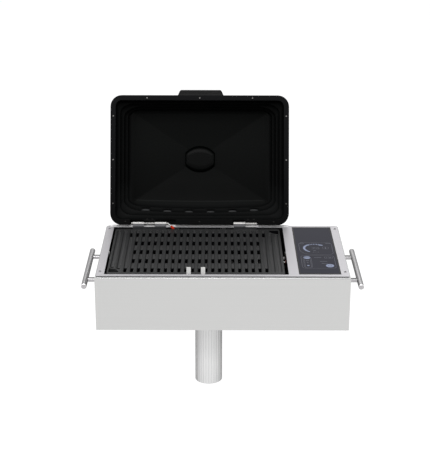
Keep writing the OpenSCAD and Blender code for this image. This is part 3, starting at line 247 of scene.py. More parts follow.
def makeCastSurface():
    tree, given, done = newGroup("castSurface", "ShaderNodeTree", [
        ("Color", "NodeSocketColor", (0.05, 0.05, 0.05, 1)),
        ("Grain size", "NodeSocketFloat", 900),
        ("Tint", "NodeSocketFloat", 0.15),
        ("Roughness", "NodeSocketFloat", 0.5),
        ("Patches", "NodeSocketFloat", 0.1),
    ], surfaceOut)
    place = addNode(tree, "ShaderNodeTexCoord").outputs["Object"]
    grain = addNode(tree, "ShaderNodeTexNoise", {
        "Vector": place, "Scale": given["Grain size"], "Detail": 2})
    patch = addNode(tree, "ShaderNodeTexNoise", {"Vector": place, "Scale": 14, "Detail": 5})
    both = arith(tree, "ADD", grain.outputs["Fac"], patch.outputs["Fac"])
    mixed = arith(tree, "MULTIPLY", both, 0.5)
    uneven = wander(tree, patch.outputs["Fac"], given["Patches"])
    join(tree, shaded(tree, given["Color"], mixed, given["Tint"]), done["Color"])
    join(tree, arith(tree, "ADD", given["Roughness"], uneven), done["Roughness"])
    join(tree, grain.outputs["Fac"], done["Height"])
    return tree


brushedGrain = makeBrushedGrain()
castSurface = makeCastSurface()


def shadeByHeight(tree, color, stops):
    # painted light and shade: darker or lighter with height, from (height in m, share) pairs
    low, high = stops[0][0], stops[-1][0]
    coords = addNode(tree, "ShaderNodeTexCoord")
    place = addNode(tree, "ShaderNodeSeparateXYZ", {0: coords.outputs["Object"]})
    level = addNode(tree, "ShaderNodeMapRange", {
        "Value": place.outputs["Z"], "From Min": low, "From Max": high})
    ramp = addNode(tree, "ShaderNodeValToRGB", {"Fac": level.outputs[0]})
    marks = ramp.color_ramp.elements
    for height, share in stops[1:-1]:
        marks.new((height - low) / (high - low))
    for mark, (height, share) in zip(marks, stops):
        mark.color = gray(share)
    return tinted(tree, color, ramp.outputs["Color"])


def makeFinish(name, cfg):
    mat = bpy.data.materials.new(name)
    mat.use_nodes = True
    tree = mat.node_tree
    surface = {"Color": cfg["color"] + (1,), "Roughness": cfg["rough"], "Tint": cfg.get("tint", 0.05)}
    if "grain" in cfg:
        surface["Grain"] = cfg["grain"]
    else:
        surface["Grain size"] = cfg.get("size", 900)
    kind = brushedGrain if "grain" in cfg else castSurface
    group = addNode(tree, "ShaderNodeGroup", surface, node_tree=kind)
    color = group.outputs["Color"]
    # painted light and shade that change with height
    if "heightShade" in cfg:
        color = shadeByHeight(tree, color, cfg["heightShade"])
    if "edge" in cfg:
        # painted shade: round bars darken towards their sides
        facing = addNode(tree, "ShaderNodeLayerWeight", {"Blend": 0.5})
        color = tinted(tree, color, spread(tree, facing.outputs["Facing"], 1, cfg["edge"]))
    bump = addNode(tree, "ShaderNodeBump", {
        "Strength": cfg.get("bump", 0.1), "Distance": cfg.get("depth", 0.0001),
        "Height": group.outputs["Height"]})
    worn = {"Base Color": color, "Roughness": group.outputs["Roughness"], "Normal": bump.outputs[0],
            "Metallic": cfg.get("metal", 0), "Specular IOR Level": cfg.get("specular", 0.5)}
    if "rim" in cfg:
        # a metal's colour where it is seen edge-on
        worn["Specular Tint"] = gray(cfg["rim"])
    if "coat" in cfg:
        worn.update({"Coat Weight": cfg["coat"], "Coat Roughness": cfg["coatRough"]})
    for label, end in worn.items():
        join(tree, end, tree.nodes["Principled BSDF"].inputs[label])
    return mat


finishes = {
    "housingBrushed": {"color": (0.56, 0.56, 0.555), "metal": 1, "rough": 0.36, "grain": (3, 3, 900),
                       "tint": 0.035, "bump": 0.05},
    "deckBrushed": {"color": (0.53, 0.52, 0.54), "metal": 0.45, "rough": 0.5, "grain": (3, 900, 3),
                    "tint": 0.05, "bump": 0.05, "specular": 0.3},
    # a pale finish that is painted light on the deck's back strip and lip
    "paintedLightTrim": {"color": (0.93, 0.92, 0.93), "rough": 0.5, "grain": (3, 900, 3), "tint": 0.04},
    "deckCut": {"color": (0.20, 0.20, 0.21), "metal": 0.6, "rough": 0.5, "grain": (200, 200, 200),
                "tint": 0.1},
    "plainSteel": {"color": (0.62, 0.62, 0.61), "metal": 1, "rough": 0.28, "grain": (600, 8, 600),
                   "tint": 0.05, "bump": 0.04},
    "shadedSteel": {"color": (0.060, 0.060, 0.064), "metal": 0.7, "rough": 0.5, "grain": (300, 9, 300),
                    "tint": 0.1},
    "knuckleSteel": {"color": (0.58, 0.57, 0.56), "metal": 0.6, "rough": 0.42, "grain": (12, 500, 500),
                     "tint": 0.06, "bump": 0.03},
    "catchSteel": {"color": (0.58, 0.58, 0.57), "metal": 0.5, "rough": 0.45, "grain": (500, 20, 20),
                   "tint": 0.06, "bump": 0.04},
    "dullSteel": {"color": (0.12, 0.115, 0.11), "metal": 0.9, "rough": 0.45, "grain": (90, 90, 90),
                  "tint": 0.12},
    # the rim rivets get painted shade towards their lower end, by height
    "rivetSteel": {"color": (0.15, 0.145, 0.14), "metal": 0.9, "rough": 0.45, "grain": (90, 90, 90),
                   "tint": 0.12, "heightShade": [(0.33, 0.12), (0.37, 0.5), (0.45, 1.1), (0.60, 0.9)]},
    "screwSteel": {"color": (0.46, 0.45, 0.46), "metal": 0.9, "rough": 0.35, "grain": (300, 300, 300),
                   "tint": 0.08},
    # the bars' sides get painted shade
    "barSteel": {"color": (0.96, 0.95, 0.96), "metal": 1, "rough": 0.27, "grain": (700, 9, 700),
                 "tint": 0.04, "bump": 0.03, "edge": 0.28, "rim": 0.4},
    # a darker copy of the bars' steel: painted shade on the standoffs, darkest at their sides
    "standoffSteel": {"color": (0.25, 0.25, 0.253), "metal": 1, "rough": 0.34, "grain": (9, 700, 700),
                      "tint": 0.05, "edge": 0.02, "rim": 0.0},
    # a darker copy of the housing's steel: painted shade that dims the highlight on its top bends
    "bendShaded": {"color": (0.40, 0.40, 0.40), "metal": 1, "rough": 0.42, "grain": (3, 600, 900),
                    "tint": 0.04, "bump": 0.05},
    "zincPlate": {"color": (0.50, 0.50, 0.48), "metal": 1, "rough": 0.38, "grain": (90, 90, 90),
                  "tint": 0.12},
    # painted shade towards the post's top under the housing, lighter towards its foot, and painted shade at
    # its sides
    "postMetal": {"color": (0.80, 0.80, 0.80), "metal": 0.9, "rough": 0.34, "grain": (560, 560, 4),
                  "tint": 0.13, "bump": 0.05, "edge": 0.06, "rim": 0.0,
                  "heightShade": [(0.05, 1.12), (0.09, 1.0), (0.17, 0.84)]},
    "socketPaint": {"color": (0.15, 0.15, 0.155), "rough": 0.5, "size": 1400, "tint": 0.1},
    "wellEnamel": {"color": (0.004, 0.004, 0.004), "rough": 0.6, "size": 500, "tint": 0.3,
                   "specular": 0.08},
    "trayMetal": {"color": (0.010, 0.010, 0.010), "metal": 0.3, "rough": 0.6, "size": 400, "tint": 0.3,
                  "specular": 0.1},
    "elementSkin": {"color": (0.012, 0.011, 0.010), "rough": 0.6, "size": 700, "tint": 0.25,
                    "specular": 0.12},
    "whiteCeramic": {"color": (0.72, 0.70, 0.64), "rough": 0.25, "size": 200, "tint": 0.04},
    "brownPlastic": {"color": (0.12, 0.03, 0.015), "rough": 0.35, "size": 600, "tint": 0.1},
    "redRubber": {"color": (0.10, 0.018, 0.014), "rough": 0.6, "tint": 0.1, "specular": 0.2},
    "blackRubber": {"color": (0.006, 0.006, 0.006), "rough": 0.7, "tint": 0.2, "specular": 0.12},
    "mineralBoard": {"color": (0.62, 0.56, 0.44), "rough": 0.9, "size": 300, "tint": 0.15, "bump": 0.4},
    "circuitBoard": {"color": (0.01, 0.08, 0.03), "rough": 0.35, "size": 300, "tint": 0.2},
    "relayPlastic": {"color": (0.02, 0.02, 0.022), "rough": 0.45, "size": 600, "tint": 0.1},
    "turnedBrass": {"color": (0.62, 0.43, 0.16), "metal": 1, "rough": 0.3, "grain": (500, 500, 20),
                    "tint": 0.05},
    "lidEnamel": {"color": (0.0045, 0.0045, 0.005), "rough": 0.5, "size": 1100, "tint": 0.15, "bump": 0.06,
                  "specular": 0.10},
    # painted shade on the liner towards its lower and upper ends, by height
    "linerEnamel": {"color": (0.0035, 0.0039, 0.0037), "rough": 0.42, "size": 1100, "tint": 0.15,
                    "bump": 0.05, "specular": 0.025,
                    "heightShade": [(0.36, 0.56), (0.42, 0.76), (0.47, 0.97), (0.52, 0.82), (0.57, 0.30)]},
    # a lighter copy of the liner's enamel: painted highlight on the roof's crest
    "crestHighlightEnamel": {"color": (0.0056, 0.0062, 0.0060), "rough": 0.42, "size": 1100, "tint": 0.12,
                    "bump": 0.05, "specular": 0.04},
    # painted light on the lower ridges and painted shade on the upper ones, by height
    "ridgeEnamel": {"color": (0.0027, 0.0029, 0.0029), "rough": 0.45, "size": 1100, "tint": 0.15,
                    "bump": 0.05, "specular": 0.03,
                    "heightShade": [(0.33, 1.7), (0.37, 1.6), (0.40, 0.62), (0.60, 0.60)]},
    "bossEnamel": {"color": (0.0008, 0.0010, 0.0009), "rough": 0.4, "size": 1100, "tint": 0.15,
                   "bump": 0.04, "specular": 0.02, "coat": 0.045, "coatRough": 0.26},
    # a lighter copy of the rim's enamel: painted highlight on the vent lips
    "lipHighlightEnamel": {"color": (0.030, 0.031, 0.032), "rough": 0.45, "size": 1100, "tint": 0.12,
                  "specular": 0.1},
    # painted shade on the rim towards its lower end by the deck, by height
    "rimEnamel": {"color": (0.0068, 0.0070, 0.0076), "rough": 0.42, "size": 1100, "tint": 0.12,
                  "bump": 0.05, "specular": 0.03,
                  "heightShade": [(0.322, 0.22), (0.34, 0.30), (0.40, 0.52), (0.47, 0.70), (0.60, 0.80)]},
    "grateIron": {"color": (0.020, 0.0205, 0.021), "rough": 0.55, "size": 650, "tint": 0.25, "bump": 0.2,
                  "depth": 0.0003, "specular": 0.3},
    # a lighter copy of the grate's iron: painted light on the channels' floors
    "channelLitIron": {"color": (0.044, 0.044, 0.045), "rough": 0.55, "size": 650, "tint": 0.22, "bump": 0.2,
                    "depth": 0.0003, "specular": 0.3},
    "moldedBlack": {"color": (0.006, 0.006, 0.006), "rough": 0.5, "size": 1500, "tint": 0.1, "bump": 0.1,
                    "specular": 0.15},
    "gripRed": {"color": (0.52, 0.024, 0.004), "rough": 0.5, "size": 800, "tint": 0.06, "specular": 0.12},
    "touchGlass": {"color": (0.027, 0.0275, 0.041), "rough": 0.12, "size": 60, "tint": 0.04, "bump": 0.0,
                   "specular": 0.036},
    "panelInk": {"color": (0.27, 0.31, 0.45), "rough": 0.5, "tint": 0.06, "specular": 0.2},
    "panelInkDim": {"color": (0.105, 0.110, 0.140), "rough": 0.5, "tint": 0.06, "specular": 0.2},
    "panelInkFaint": {"color": (0.078, 0.080, 0.102), "rough": 0.5, "tint": 0.06, "specular": 0.2},
    # black print on the glass, and painted shade in the grate's slots and corner pockets
    "panelBlack": {"color": (0.004, 0.004, 0.005), "rough": 0.35, "tint": 0.1, "specular": 0.1},
    # painted shade standing in for the screws' cross recesses
    "recessShade": {"color": (0.015, 0.015, 0.015), "rough": 0.7, "tint": 0.1, "specular": 0.1},
}

made = {name: makeFinish(name, cfg) for name, cfg in finishes.items()}

wearing = {
    "housingBrushed": ["housing_shell"],
    "deckBrushed": ["deck_frame"],
    "plainSteel": ["bottom_plate", "grate_brackets", "element_supports", "hinge_screws"],
    "knuckleSteel": ["hinge_base_left", "hinge_base_right", "hinge_lid_left", "hinge_lid_right", "pull_pin",
                     "hinge_pin_right"],
    "catchSteel": ["catch_left", "catch_right", "temperature_probe"],
    "dullSteel": ["hinge_rivets", "lid_handle_screws"],
    "rivetSteel": ["rim_rivets"],
    "screwSteel": ["deck_screws"],
    "barSteel": ["side_handle_left", "side_handle_right"],
    "zincPlate": ["bottom_screws", "deck_nuts", "hinge_nuts", "side_handle_screws", "socket_bolts",
                  "socket_nuts", "socket_set_screws", "control_tray"],
    "postMetal": ["post"],
    "socketPaint": ["post_socket"],
    "wellEnamel": ["well_pan"],
    "trayMetal": ["drip_tray"],
    "elementSkin": ["heating_element"],
    "whiteCeramic": ["terminal_block"],
    "brownPlastic": ["thermal_cutout"],
    "redRubber": ["probe_grommet"],
    "blackRubber": ["deck_gasket", "glass_seal"],
    "mineralBoard": ["insulation_board"],
    "circuitBoard": ["touch_board", "power_board"],
    "relayPlastic": ["board_relays"],
    "turnedBrass": ["board_standoffs"],
    "lidEnamel": ["lid_shell"],
    "linerEnamel": ["lid_liner"],
    "grateIron": ["grate"],
    "moldedBlack": ["lid_handle", "cord_gland", "gland_nut"],
    "gripRed": ["pull_pin_grip"],
    "touchGlass": ["touch_glass"],
}

for finish, names in wearing.items():
    for name in names:
        data = nodes[name].data
        data.materials.clear()
        data.materials.append(made[finish])
missing = set(nodes) - {n for names in wearing.values() for n in names}
print("finishes made; nodes without one:", sorted(missing))


def paintFaces(names, finish, test):
    # gives the CAD nodes' faces that pass the test another finish
    for name in names:
        data = nodes[name].data
        data.materials.append(made[finish])
        index = len(data.materials) - 1
        for face in data.polygons:
            if test([data.vertices[i].co / mm for i in face.vertices], face.normal):
                face.material_index = index


hingeAxis = {"back": 144.6, "up": 321.6}
paintLimits = {
    "barrel": 3.5,                      # just over the radius of the hinges' knuckles
    "drainReach": 27, "drainLip": 2.5, "drainDeep": 1,
    "slotEdge": 3, "slotDeep": 2.3, "channelDeep": 2.4,
    "handleMid": 30, "barFrom": 284,    # the bars lie this far out from the middle
    "bendFrom": 306, "bendTurn": (0.12, 0.97),
}
grateLow, grateHigh = (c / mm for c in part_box("grate"))


def offBarrel(corners, normal):
    # faces of a hinge that aren't on its round knuckles
    away = [math.hypot(p.y - hingeAxis["back"], p.z - hingeAxis["up"]) for p in corners]
    return max(away) > paintLimits["barrel"]


def belowAxis(corners, normal):
    return all(p.z < hingeAxis["up"] for p in corners)


def inDrain(corners):
    # the open pockets in the grate's left front and right back corners
    mid = sum(corners, Vector()) / len(corners)
    for corner in (grateLow, grateHigh):
        away = abs(mid.x - corner.x), abs(mid.y - corner.y)
        if math.hypot(*away) < paintLimits["drainReach"] and min(away) > paintLimits["drainLip"]:
            return mid.z < grateHigh.z - paintLimits["drainDeep"]
    return False


def inSlot(corners, normal):
    # the walls of the slots, below the channels' floor
    edge, floor = paintLimits["slotEdge"], grateHigh.z - paintLimits["slotDeep"]
    return abs(normal.z) < 0.5 and all(
        p.z < floor and grateLow.x + edge < p.x < grateHigh.x - edge
        and grateLow.y + edge < p.y < grateHigh.y - edge for p in corners)


def onChannel(corners, normal):
    return normal.z > 0.8 and corners[0].z < grateHigh.z - paintLimits["channelDeep"]


def onStandoff(corners, normal):
    return any(abs(p.x - paintLimits["handleMid"]) < paintLimits["barFrom"] for p in corners)


def onBend(corners, normal):
    flat, steep = paintLimits["bendTurn"]
    return flat < normal.z < steep and all(p.z > paintLimits["bendFrom"] for p in corners)


sideHandles = ["side_handle_left", "side_handle_right"]
hingeLeaves = ["hinge_base_left", "hinge_base_right", "hinge_lid_left", "hinge_lid_right"]

# later calls go over earlier ones
# painted shade: the grate's slot walls and corner pockets are painted black
paintFaces(["grate"], "panelBlack", lambda corners, normal: inDrain(corners) or inSlot(corners, normal))
# painted light on the channels' floors
paintFaces(["grate"], "channelLitIron", onChannel)
# the standoffs get the darker steel, painted shade
paintFaces(sideHandles, "standoffSteel", onStandoff)
paintFaces(sideHandles, "screwSteel", lambda corners, normal: abs(normal.y) > 0.8)
# painted shade on the housing's top bends
paintFaces(["housing_shell"], "bendShaded", onBend)
paintFaces(["deck_frame"], "deckCut", lambda corners, normal: normal.z < 0.5)
paintFaces(hingeLeaves, "shadedSteel", offBarrel)
paintFaces(["hinge_lid_left"], "shadedSteel", belowAxis)
paintFaces(["deck_screws"], "shadedSteel", lambda corners, normal: normal.z < 0.55)
print("faces painted")


# Smoother shading of the CAD nodes

def newShape(name, inputs):
    sockets = [("Geometry", "NodeSocketGeometry", None)] + inputs
    return newGroup(name, "GeometryNodeTree", sockets, [("Geometry", "NodeSocketGeometry")])


def makeSoftEdges():
    tree, given, done = newShape("softEdges", [
        ("Weld", "NodeSocketFloat", 0.000002),
        ("Sharp from", "NodeSocketFloat", 0.6),
    ])
    weld = addNode(tree, "GeometryNodeMergeByDistance", {
        "Geometry": given["Geometry"], "Distance": given["Weld"]})
    soft = addNode(tree, "GeometryNodeSetShadeSmooth", {"Geometry": weld.outputs[0]}, domain="FACE")
    angle = addNode(tree, "GeometryNodeInputMeshEdgeAngle")
    wide = addNode(tree, "FunctionNodeCompare", {0: angle.outputs[0], 1: given["Sharp from"]},
                   data_type="FLOAT", operation="GREATER_THAN")
    hard = addNode(tree, "GeometryNodeSetShadeSmooth", {
        "Geometry": soft.outputs[0], "Selection": wide.outputs[0], "Shade Smooth": False}, domain="EDGE")
    join(tree, hard.outputs[0], done["Geometry"])
    return tree


def useTree(obj, tree, values):
    modifier = obj.modifiers.new(tree.name, "NODES")
    modifier.node_group = tree
    for item in tree.interface.items_tree:
        if item.item_type == "SOCKET" and item.in_out == "INPUT" and item.name in values:
            modifier[item.identifier] = values[item.name]


def softened(obj, sharp, bevelWidth=0):
    useTree(obj, softEdges, {"Sharp from": sharp})
    if bevelWidth:
        bevel = obj.modifiers.new("bevel", "BEVEL")
        bevel.width = bevelWidth * mm
        bevel.segments = 2
        bevel.limit_method = "ANGLE"
        bevel.angle_limit = 0.7
    obj.modifiers.new("evenNormals", "WEIGHTED_NORMAL").keep_sharp = True


softEdges = makeSoftEdges()
softening = {
    "sharp": 0.62,
    "nodes": sideHandles + hingeLeaves + [
        "lid_shell", "lid_liner", "lid_handle", "grate", "post", "hinge_pin_right", "pull_pin",
        "pull_pin_grip", "catch_left", "catch_right", "temperature_probe", "probe_grommet", "housing_shell",
        "well_pan", "drip_tray", "heating_element", "rim_rivets", "deck_screws", "post_socket",
        "cord_gland"],
    "bevels": {"lid_handle": 0.8, "catch_left": 0.25, "catch_right": 0.25},
}
for name in softening["nodes"]:
    softened(nodes[name], softening["sharp"], softening["bevels"].get(name, 0))
print("shading softened")


# Small added pieces

def addPiece(name, verts, faces, finish, body, slotName):
    mesh = bpy.data.meshes.new(name)
    mesh.from_pydata([Vector(v) * mm for v in verts], [], faces)
    mesh.materials.append(made[finish])
    obj = bpy.data.objects.new(name, mesh)
    bpy.context.scene.collection.objects.link(obj)
    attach(obj, body)


def slab(outline, low, high):
    # a closed solid over a convex outline given counter-clockwise
    n = len(outline)
    verts = [(x, y, low) for x, y in outline] + [(x, y, high) for x, y in outline]
    faces = [tuple(range(n - 1, -1, -1)), tuple(range(n, 2 * n))]
    faces += [(i, (i + 1) % n, n + (i + 1) % n, n + i) for i in range(n)]
    return verts, faces


def band(outer, inner, low, high, closed=True):
    # a closed solid between two outlines with as many points
    n = len(outer)
    verts = []
    for z in (low, high):
        verts += [(x, y, z) for x, y in outer] + [(x, y, z) for x, y in inner]
    faces = []
    for i in range(n if closed else n - 1):
        j = (i + 1) % n
        faces += [(n + i, n + j, j, i), (2 * n + i, 2 * n + j, 3 * n + j, 3 * n + i),
                  (i, j, 2 * n + j, 2 * n + i), (n + j, n + i, 3 * n + i, 3 * n + j)]
    if not closed:
        e = n - 1
        faces += [(0, 2 * n, 3 * n, n), (n + e, 3 * n + e, 2 * n + e, e)]
    return verts, faces


def gather(solids):
    verts, faces = [], []
    for v, f in solids:
        faces += [tuple(i + len(verts) for i in face) for face in f]
        verts += v
    return verts, faces


def roundRect(x0, y0, x1, y1, radii, grow=0.0, steps=7):
    # counter-clockwise from the right front corner; radii in that order
    points = []
    for turn, (cx, cy) in enumerate([(x1, y0), (x1, y1), (x0, y1), (x0, y0)]):
        r = radii[turn]
        mx = cx - math.copysign(r, cx - (x0 + x1) / 2)
        my = cy - math.copysign(r, cy - (y0 + y1) / 2)
        for k in range(steps + 1):
            a = math.radians(90 * (turn - 1) + 90 * k / steps)
            points.append((mx + (r + grow) * math.cos(a), my + (r + grow) * math.sin(a)))
    return points


def arcBand(x, y, arc, low, high):
    # arc: inner radius, outer radius, start, sweep, steps, inner radius at the end
    near, far, start, sweep, steps, last = arc
    outer, inner = [], []
    for k in range(steps + 1):
        a = math.radians(start + sweep * k / steps)
        r = near + (last - near) * k / steps
        outer.append((x + far * math.cos(a), y + far * math.sin(a)))
        inner.append((x + r * math.cos(a), y + r * math.sin(a)))
    return band(outer, inner, low, high, closed=False)


def disc(x, y, rx, ry, steps=28):
    turns = [2 * math.pi * k / steps for k in range(steps)]
    return [(x + rx * math.cos(a), y + ry * math.sin(a)) for a in turns]


def ring(x, y, rx, ry, wideX, wideY, low, high):
    return band(disc(x, y, rx, ry), disc(x, y, rx - wideX, ry - wideY), low, high)


def bar(x0, y0, x1, y1, thick, low, high):
    along = Vector((x1 - x0, y1 - y0)).normalized() * thick / 2
    side = Vector((-along.y, along.x))
    a, b = Vector((x0, y0)) - along, Vector((x1, y1)) + along
    return slab([tuple(a - side), tuple(b - side), tuple(b + side), tuple(a + side)], low, high)


# strokes of a seven-stroke digit, in shares of its width and height
strokes = {"a": (0, 1, 1, 1), "b": (1, 1, 1, 0.5), "c": (1, 0.5, 1, 0), "d": (0, 0, 1, 0),
           "e": (0, 0.5, 0, 0), "f": (0, 1, 0, 0.5), "g": (0, 0.5, 1, 0.5)}
shown = {"0": "abcdef", "3": "abgcd", "5": "afgcd"}


def digits(cfg, low, high):
    w, h = cfg["size"]
    solids = []
    for k, sign in enumerate(cfg["text"]):
        left, base = cfg["x"] + k * (w + cfg["gap"]), cfg["y"]
        for s in shown[sign]:
            ax, ay, bx, by = strokes[s]
            ends = (left + ax * w, base + ay * h, left + bx * w, base + by * h)
            solids.append(bar(*ends, cfg["thick"], low, high))
    return solids


panel = {
    "span": (313.92, 313.97),           # bottom and top of the marks, just over the glass
    "glass": (190.0, -134.0, 277.6, 140.4), "border": (3.0, 5.6),
    # each frame's sides and its corners' radii
    "frames": [((199.6, -23.4, 270.8, 45.4), (9, 9, 9, 27)), ((199.8, -100.6, 270.4, -30.6), (8, 8, 8, 8))],
    "frameLine": 0.9,
    "slotFrame": (204.0, -99.4, 220.4, -36.0), "slotInsets": (0, 2.3), "slotGap": 0.2, "slotLine": 0.8,
    # rings: middle, radii and line widths
    "faintRings": [(256.6, 14.0, 7.4, 7.4, 0.8, 0.8), (233.8, -11.0, 6.8, 3.6, 0.7, 0.7)],
    "digits": [{"text": "350", "x": 226.4, "y": 7.4, "size": (3.9, 9.6), "gap": 1.9, "thick": 0.8},
               {"text": "030", "x": 250.2, "y": -46.4, "size": (4.0, 9.6), "gap": 2.4, "thick": 0.7}],
    # dashed words: left end, level and length
    "words": [(228.2, -41.2, 15.4), (239.4, -63.0, 15.6), (242.0, -74.0, 13.0)],
    "dashes": 4, "dashShare": 0.55, "dashThick": 1.7,
    "levels": [(-57.0, 5.0), (-60.4, 5.6), (-69.0, 3.0), (-72.0, 2.0)], "levelMid": 212, "levelThick": 1.3,
    "markRing": (205.7, 41, 4.9, 3.3, 1.0, 1.1),
    # short strokes: both ends and thickness
    "marks": [(259.6, 41.4, 261.2, 41.4, 2.2), (263.2, 41.4, 264.8, 41.4, 2.2),
              (266.8, 41.4, 268.4, 41.4, 2.2), (230.0, -0.2, 233.6, -0.2, 2.0),
              (256.6, 16.2, 256.6, 11.0, 2.4)],
    "dial": (232.6, 12.6), "dialRadii": (20.6, 25.4),
    "arcs": [(22.2, 25.4, -119, -34, 10, 20.6), (20.6, 25.4, -153, -85, 22, 20.6),
             (19.0, 25.8, 60, -20, 8, 22.8)],
    "upperKey": (212.2, -41.2, 7.6, 8.0), "lowerKey": (258.2, -86.6, 8.7, 8.9),
    "dot": (212.2, -85.9, 2.6, 2.6, 14),
    "iconRise": (0.02, 0.05), "minus": (3.4, 1.4),
    "power": (1.0, 4.6, 1.0), "powerArc": (3.2, 4.2, 120, 300, 16, 3.2),
}


def makePanel(cfg):
    span = cfg["span"]
    x0, y0, x1, y1 = cfg["glass"]
    side, end = cfg["border"]
    outer = [(x1, y0), (x1, y1), (x0, y1), (x0, y0)]
    inner = [(x1 - side, y0 + end), (x1 - side, y1 - end), (x0 + side, y1 - end), (x0 + side, y0 + end)]
    addPiece("panelBorder", *band(outer, inner, *span), "panelBlack", "base", "glass")

    lines = []
    for sides, radii in cfg["frames"]:
        lines.append(band(roundRect(*sides, radii, cfg["frameLine"]), roundRect(*sides, radii), *span))
    a, b, c, d = cfg["slotFrame"]
    for inset in cfg["slotInsets"]:
        r = (c - a) / 2 - inset - cfg["slotGap"]
        shape = (a + inset, b + inset, c - inset, d - inset, (r,) * 4)
        lines.append(band(roundRect(*shape, cfg["slotLine"]), roundRect(*shape), *span))
    lines += [ring(*row, *span) for row in cfg["faintRings"]]
    addPiece("panelOutlines", *gather(lines), "panelInkFaint", "base", "glass")

    marks = [solid for row in cfg["digits"] for solid in digits(row, *span)]
    for left, level, length in cfg["words"]:
        step = length / cfg["dashes"]
        for k in range(cfg["dashes"]):
            ends = (left + k * step, level, left + (k + cfg["dashShare"]) * step, level)
            marks.append(bar(*ends, cfg["dashThick"], *span))
    for level, length in cfg["levels"]:
        ends = (cfg["levelMid"] - length / 2, level, cfg["levelMid"] + length / 2, level)
        marks.append(bar(*ends, cfg["levelThick"], *span))
    marks.append(ring(*cfg["markRing"], *span))
    marks += [bar(*row, *span) for row in cfg["marks"]]
    addPiece("panelMarks", *gather(marks), "panelInkDim", "base", "glass")

    lights = [arcBand(*cfg["dial"], arc, *span) for arc in cfg["arcs"]]
    lights += [slab(disc(*cfg[spot]), *span) for spot in ("upperKey", "lowerKey", "dot")]
    addPiece("panelLights", *gather(lights), "panelInk", "base", "glass")

    rise = [span[1] + height for height in cfg["iconRise"]]
    (ux, uy), (lx, ly) = cfg["upperKey"][:2], cfg["lowerKey"][:2]
    reach, thick = cfg["minus"]
    low, high, wide = cfg["power"]
    icons = [arcBand(lx, ly, cfg["powerArc"], *rise), bar(lx, ly + low, lx, ly + high, wide, *rise),
             bar(ux - reach, uy, ux + reach, uy, thick, *rise)]
    addPiece("panelIcons", *gather(icons), "panelInkDim", "base", "glass")


makePanel(panel)


# Repeated details, made by geometry nodes

def settle(obj, body):
    # swaps the modifier's result in as a plain mesh
    bpy.context.view_layer.update()
    shape = obj.evaluated_get(bpy.context.evaluated_depsgraph_get())
    mesh = bpy.data.meshes.new_from_object(shape)
    obj.modifiers.clear()
    obj.data = mesh
    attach(obj, body)
    print(obj.name, "has", len(mesh.polygons), "faces")


def startPiece(name, points):
    mesh = bpy.data.meshes.new(name)
    mesh.from_pydata([Vector(p) * mm for p in points], [], [])
    obj = bpy.data.objects.new(name, mesh)
    bpy.context.scene.collection.objects.link(obj)
    return obj


def closeShape(tree, placed, done, finish):
    real = addNode(tree, "GeometryNodeRealizeInstances", {0: placed})
    worn = addNode(tree, "GeometryNodeSetMaterial", {"Geometry": real.outputs[0], "Material": made[finish]})
    join(tree, worn.outputs[0], done["Geometry"])


def makeDialTicks():
    tree, given, done = newShape("dialTicks", [
        ("Radius", "NodeSocketFloat", 0.023),
        ("Start", "NodeSocketFloat", 1.0),
        ("Sweep", "NodeSocketFloat", 1.0),
        ("Count", "NodeSocketInt", 8),
        ("Size", "NodeSocketVector", (0.003, 0.005, 0.00005)),
        ("Place", "NodeSocketVector", (0, 0, 0)),
    ])
    arc = addNode(tree, "GeometryNodeCurveArc", {
        "Radius": given["Radius"], "Start Angle": given["Start"], "Sweep Angle": given["Sweep"],
        "Resolution": 64})
    dots = addNode(tree, "GeometryNodeCurveToPoints", {"Curve": arc.outputs[0], "Count": given["Count"]},
                   mode="COUNT")
    aim = addNode(tree, "FunctionNodeAlignRotationToVector", {"Vector": dots.outputs["Tangent"]}, axis="X")
    block = addNode(tree, "GeometryNodeMeshCube", {"Size": given["Size"]})
    many = addNode(tree, "GeometryNodeInstanceOnPoints", {
        "Points": dots.outputs["Points"], "Instance": block.outputs[0], "Rotation": aim.outputs[0]})
    shift = addNode(tree, "GeometryNodeTransform", {
        "Geometry": many.outputs[0], "Translation": given["Place"]})
    closeShape(tree, shift.outputs[0], done, "panelInk")
    return tree


def makeCrossRecess():
    # a thin dark cross at each point, painted shade standing in for a cross recess, turned at random as
    # screws end up
    tree, given, done = newShape("crossRecess", [
        ("Length", "NodeSocketFloat", 0.003),
        ("Width", "NodeSocketFloat", 0.0008),
        ("Depth", "NodeSocketFloat", 0.00005),
        ("Seed", "NodeSocketInt", 4),
    ])
    arms = addNode(tree, "GeometryNodeJoinGeometry")
    for order in (("Length", "Width", "Depth"), ("Width", "Length", "Depth")):
        size = addNode(tree, "ShaderNodeCombineXYZ", {k: given[label] for k, label in enumerate(order)})
        arm = addNode(tree, "GeometryNodeMeshCube", {"Size": size.outputs[0]})
        join(tree, arm.outputs[0], arms.inputs[0])
    turn = addNode(tree, "FunctionNodeRandomValue", {0: (0, 0, 0), 1: (0, 0, 3), "Seed": given["Seed"]},
                   data_type="FLOAT_VECTOR")
    many = addNode(tree, "GeometryNodeInstanceOnPoints", {
        "Points": given["Geometry"], "Instance": arms.outputs[0], "Rotation": turn.outputs[0]})
    closeShape(tree, many.outputs[0], done, "recessShade")
    return tree


def makeLips():
    # a flattened, lens-shaped lip at each point, in a lighter enamel that is a painted highlight
    tree, given, done = newShape("ventLips", [
        ("Size", "NodeSocketVector", (0.011, 0.001, 0.002)),
        ("Turn", "NodeSocketRotation", None),
    ])
    bead = addNode(tree, "GeometryNodeMeshUVSphere", {"Segments": 24, "Rings": 10, "Radius": 1})
    many = addNode(tree, "GeometryNodeInstanceOnPoints", {
        "Points": given["Geometry"], "Instance": bead.outputs[0], "Rotation": given["Turn"],
        "Scale": given["Size"]})
    closeShape(tree, many.outputs[0], done, "lipHighlightEnamel")
    return tree


dialTicks = {"count": 8, "start": 129, "end": 65, "size": (1.5, 6.0, 0.05)}


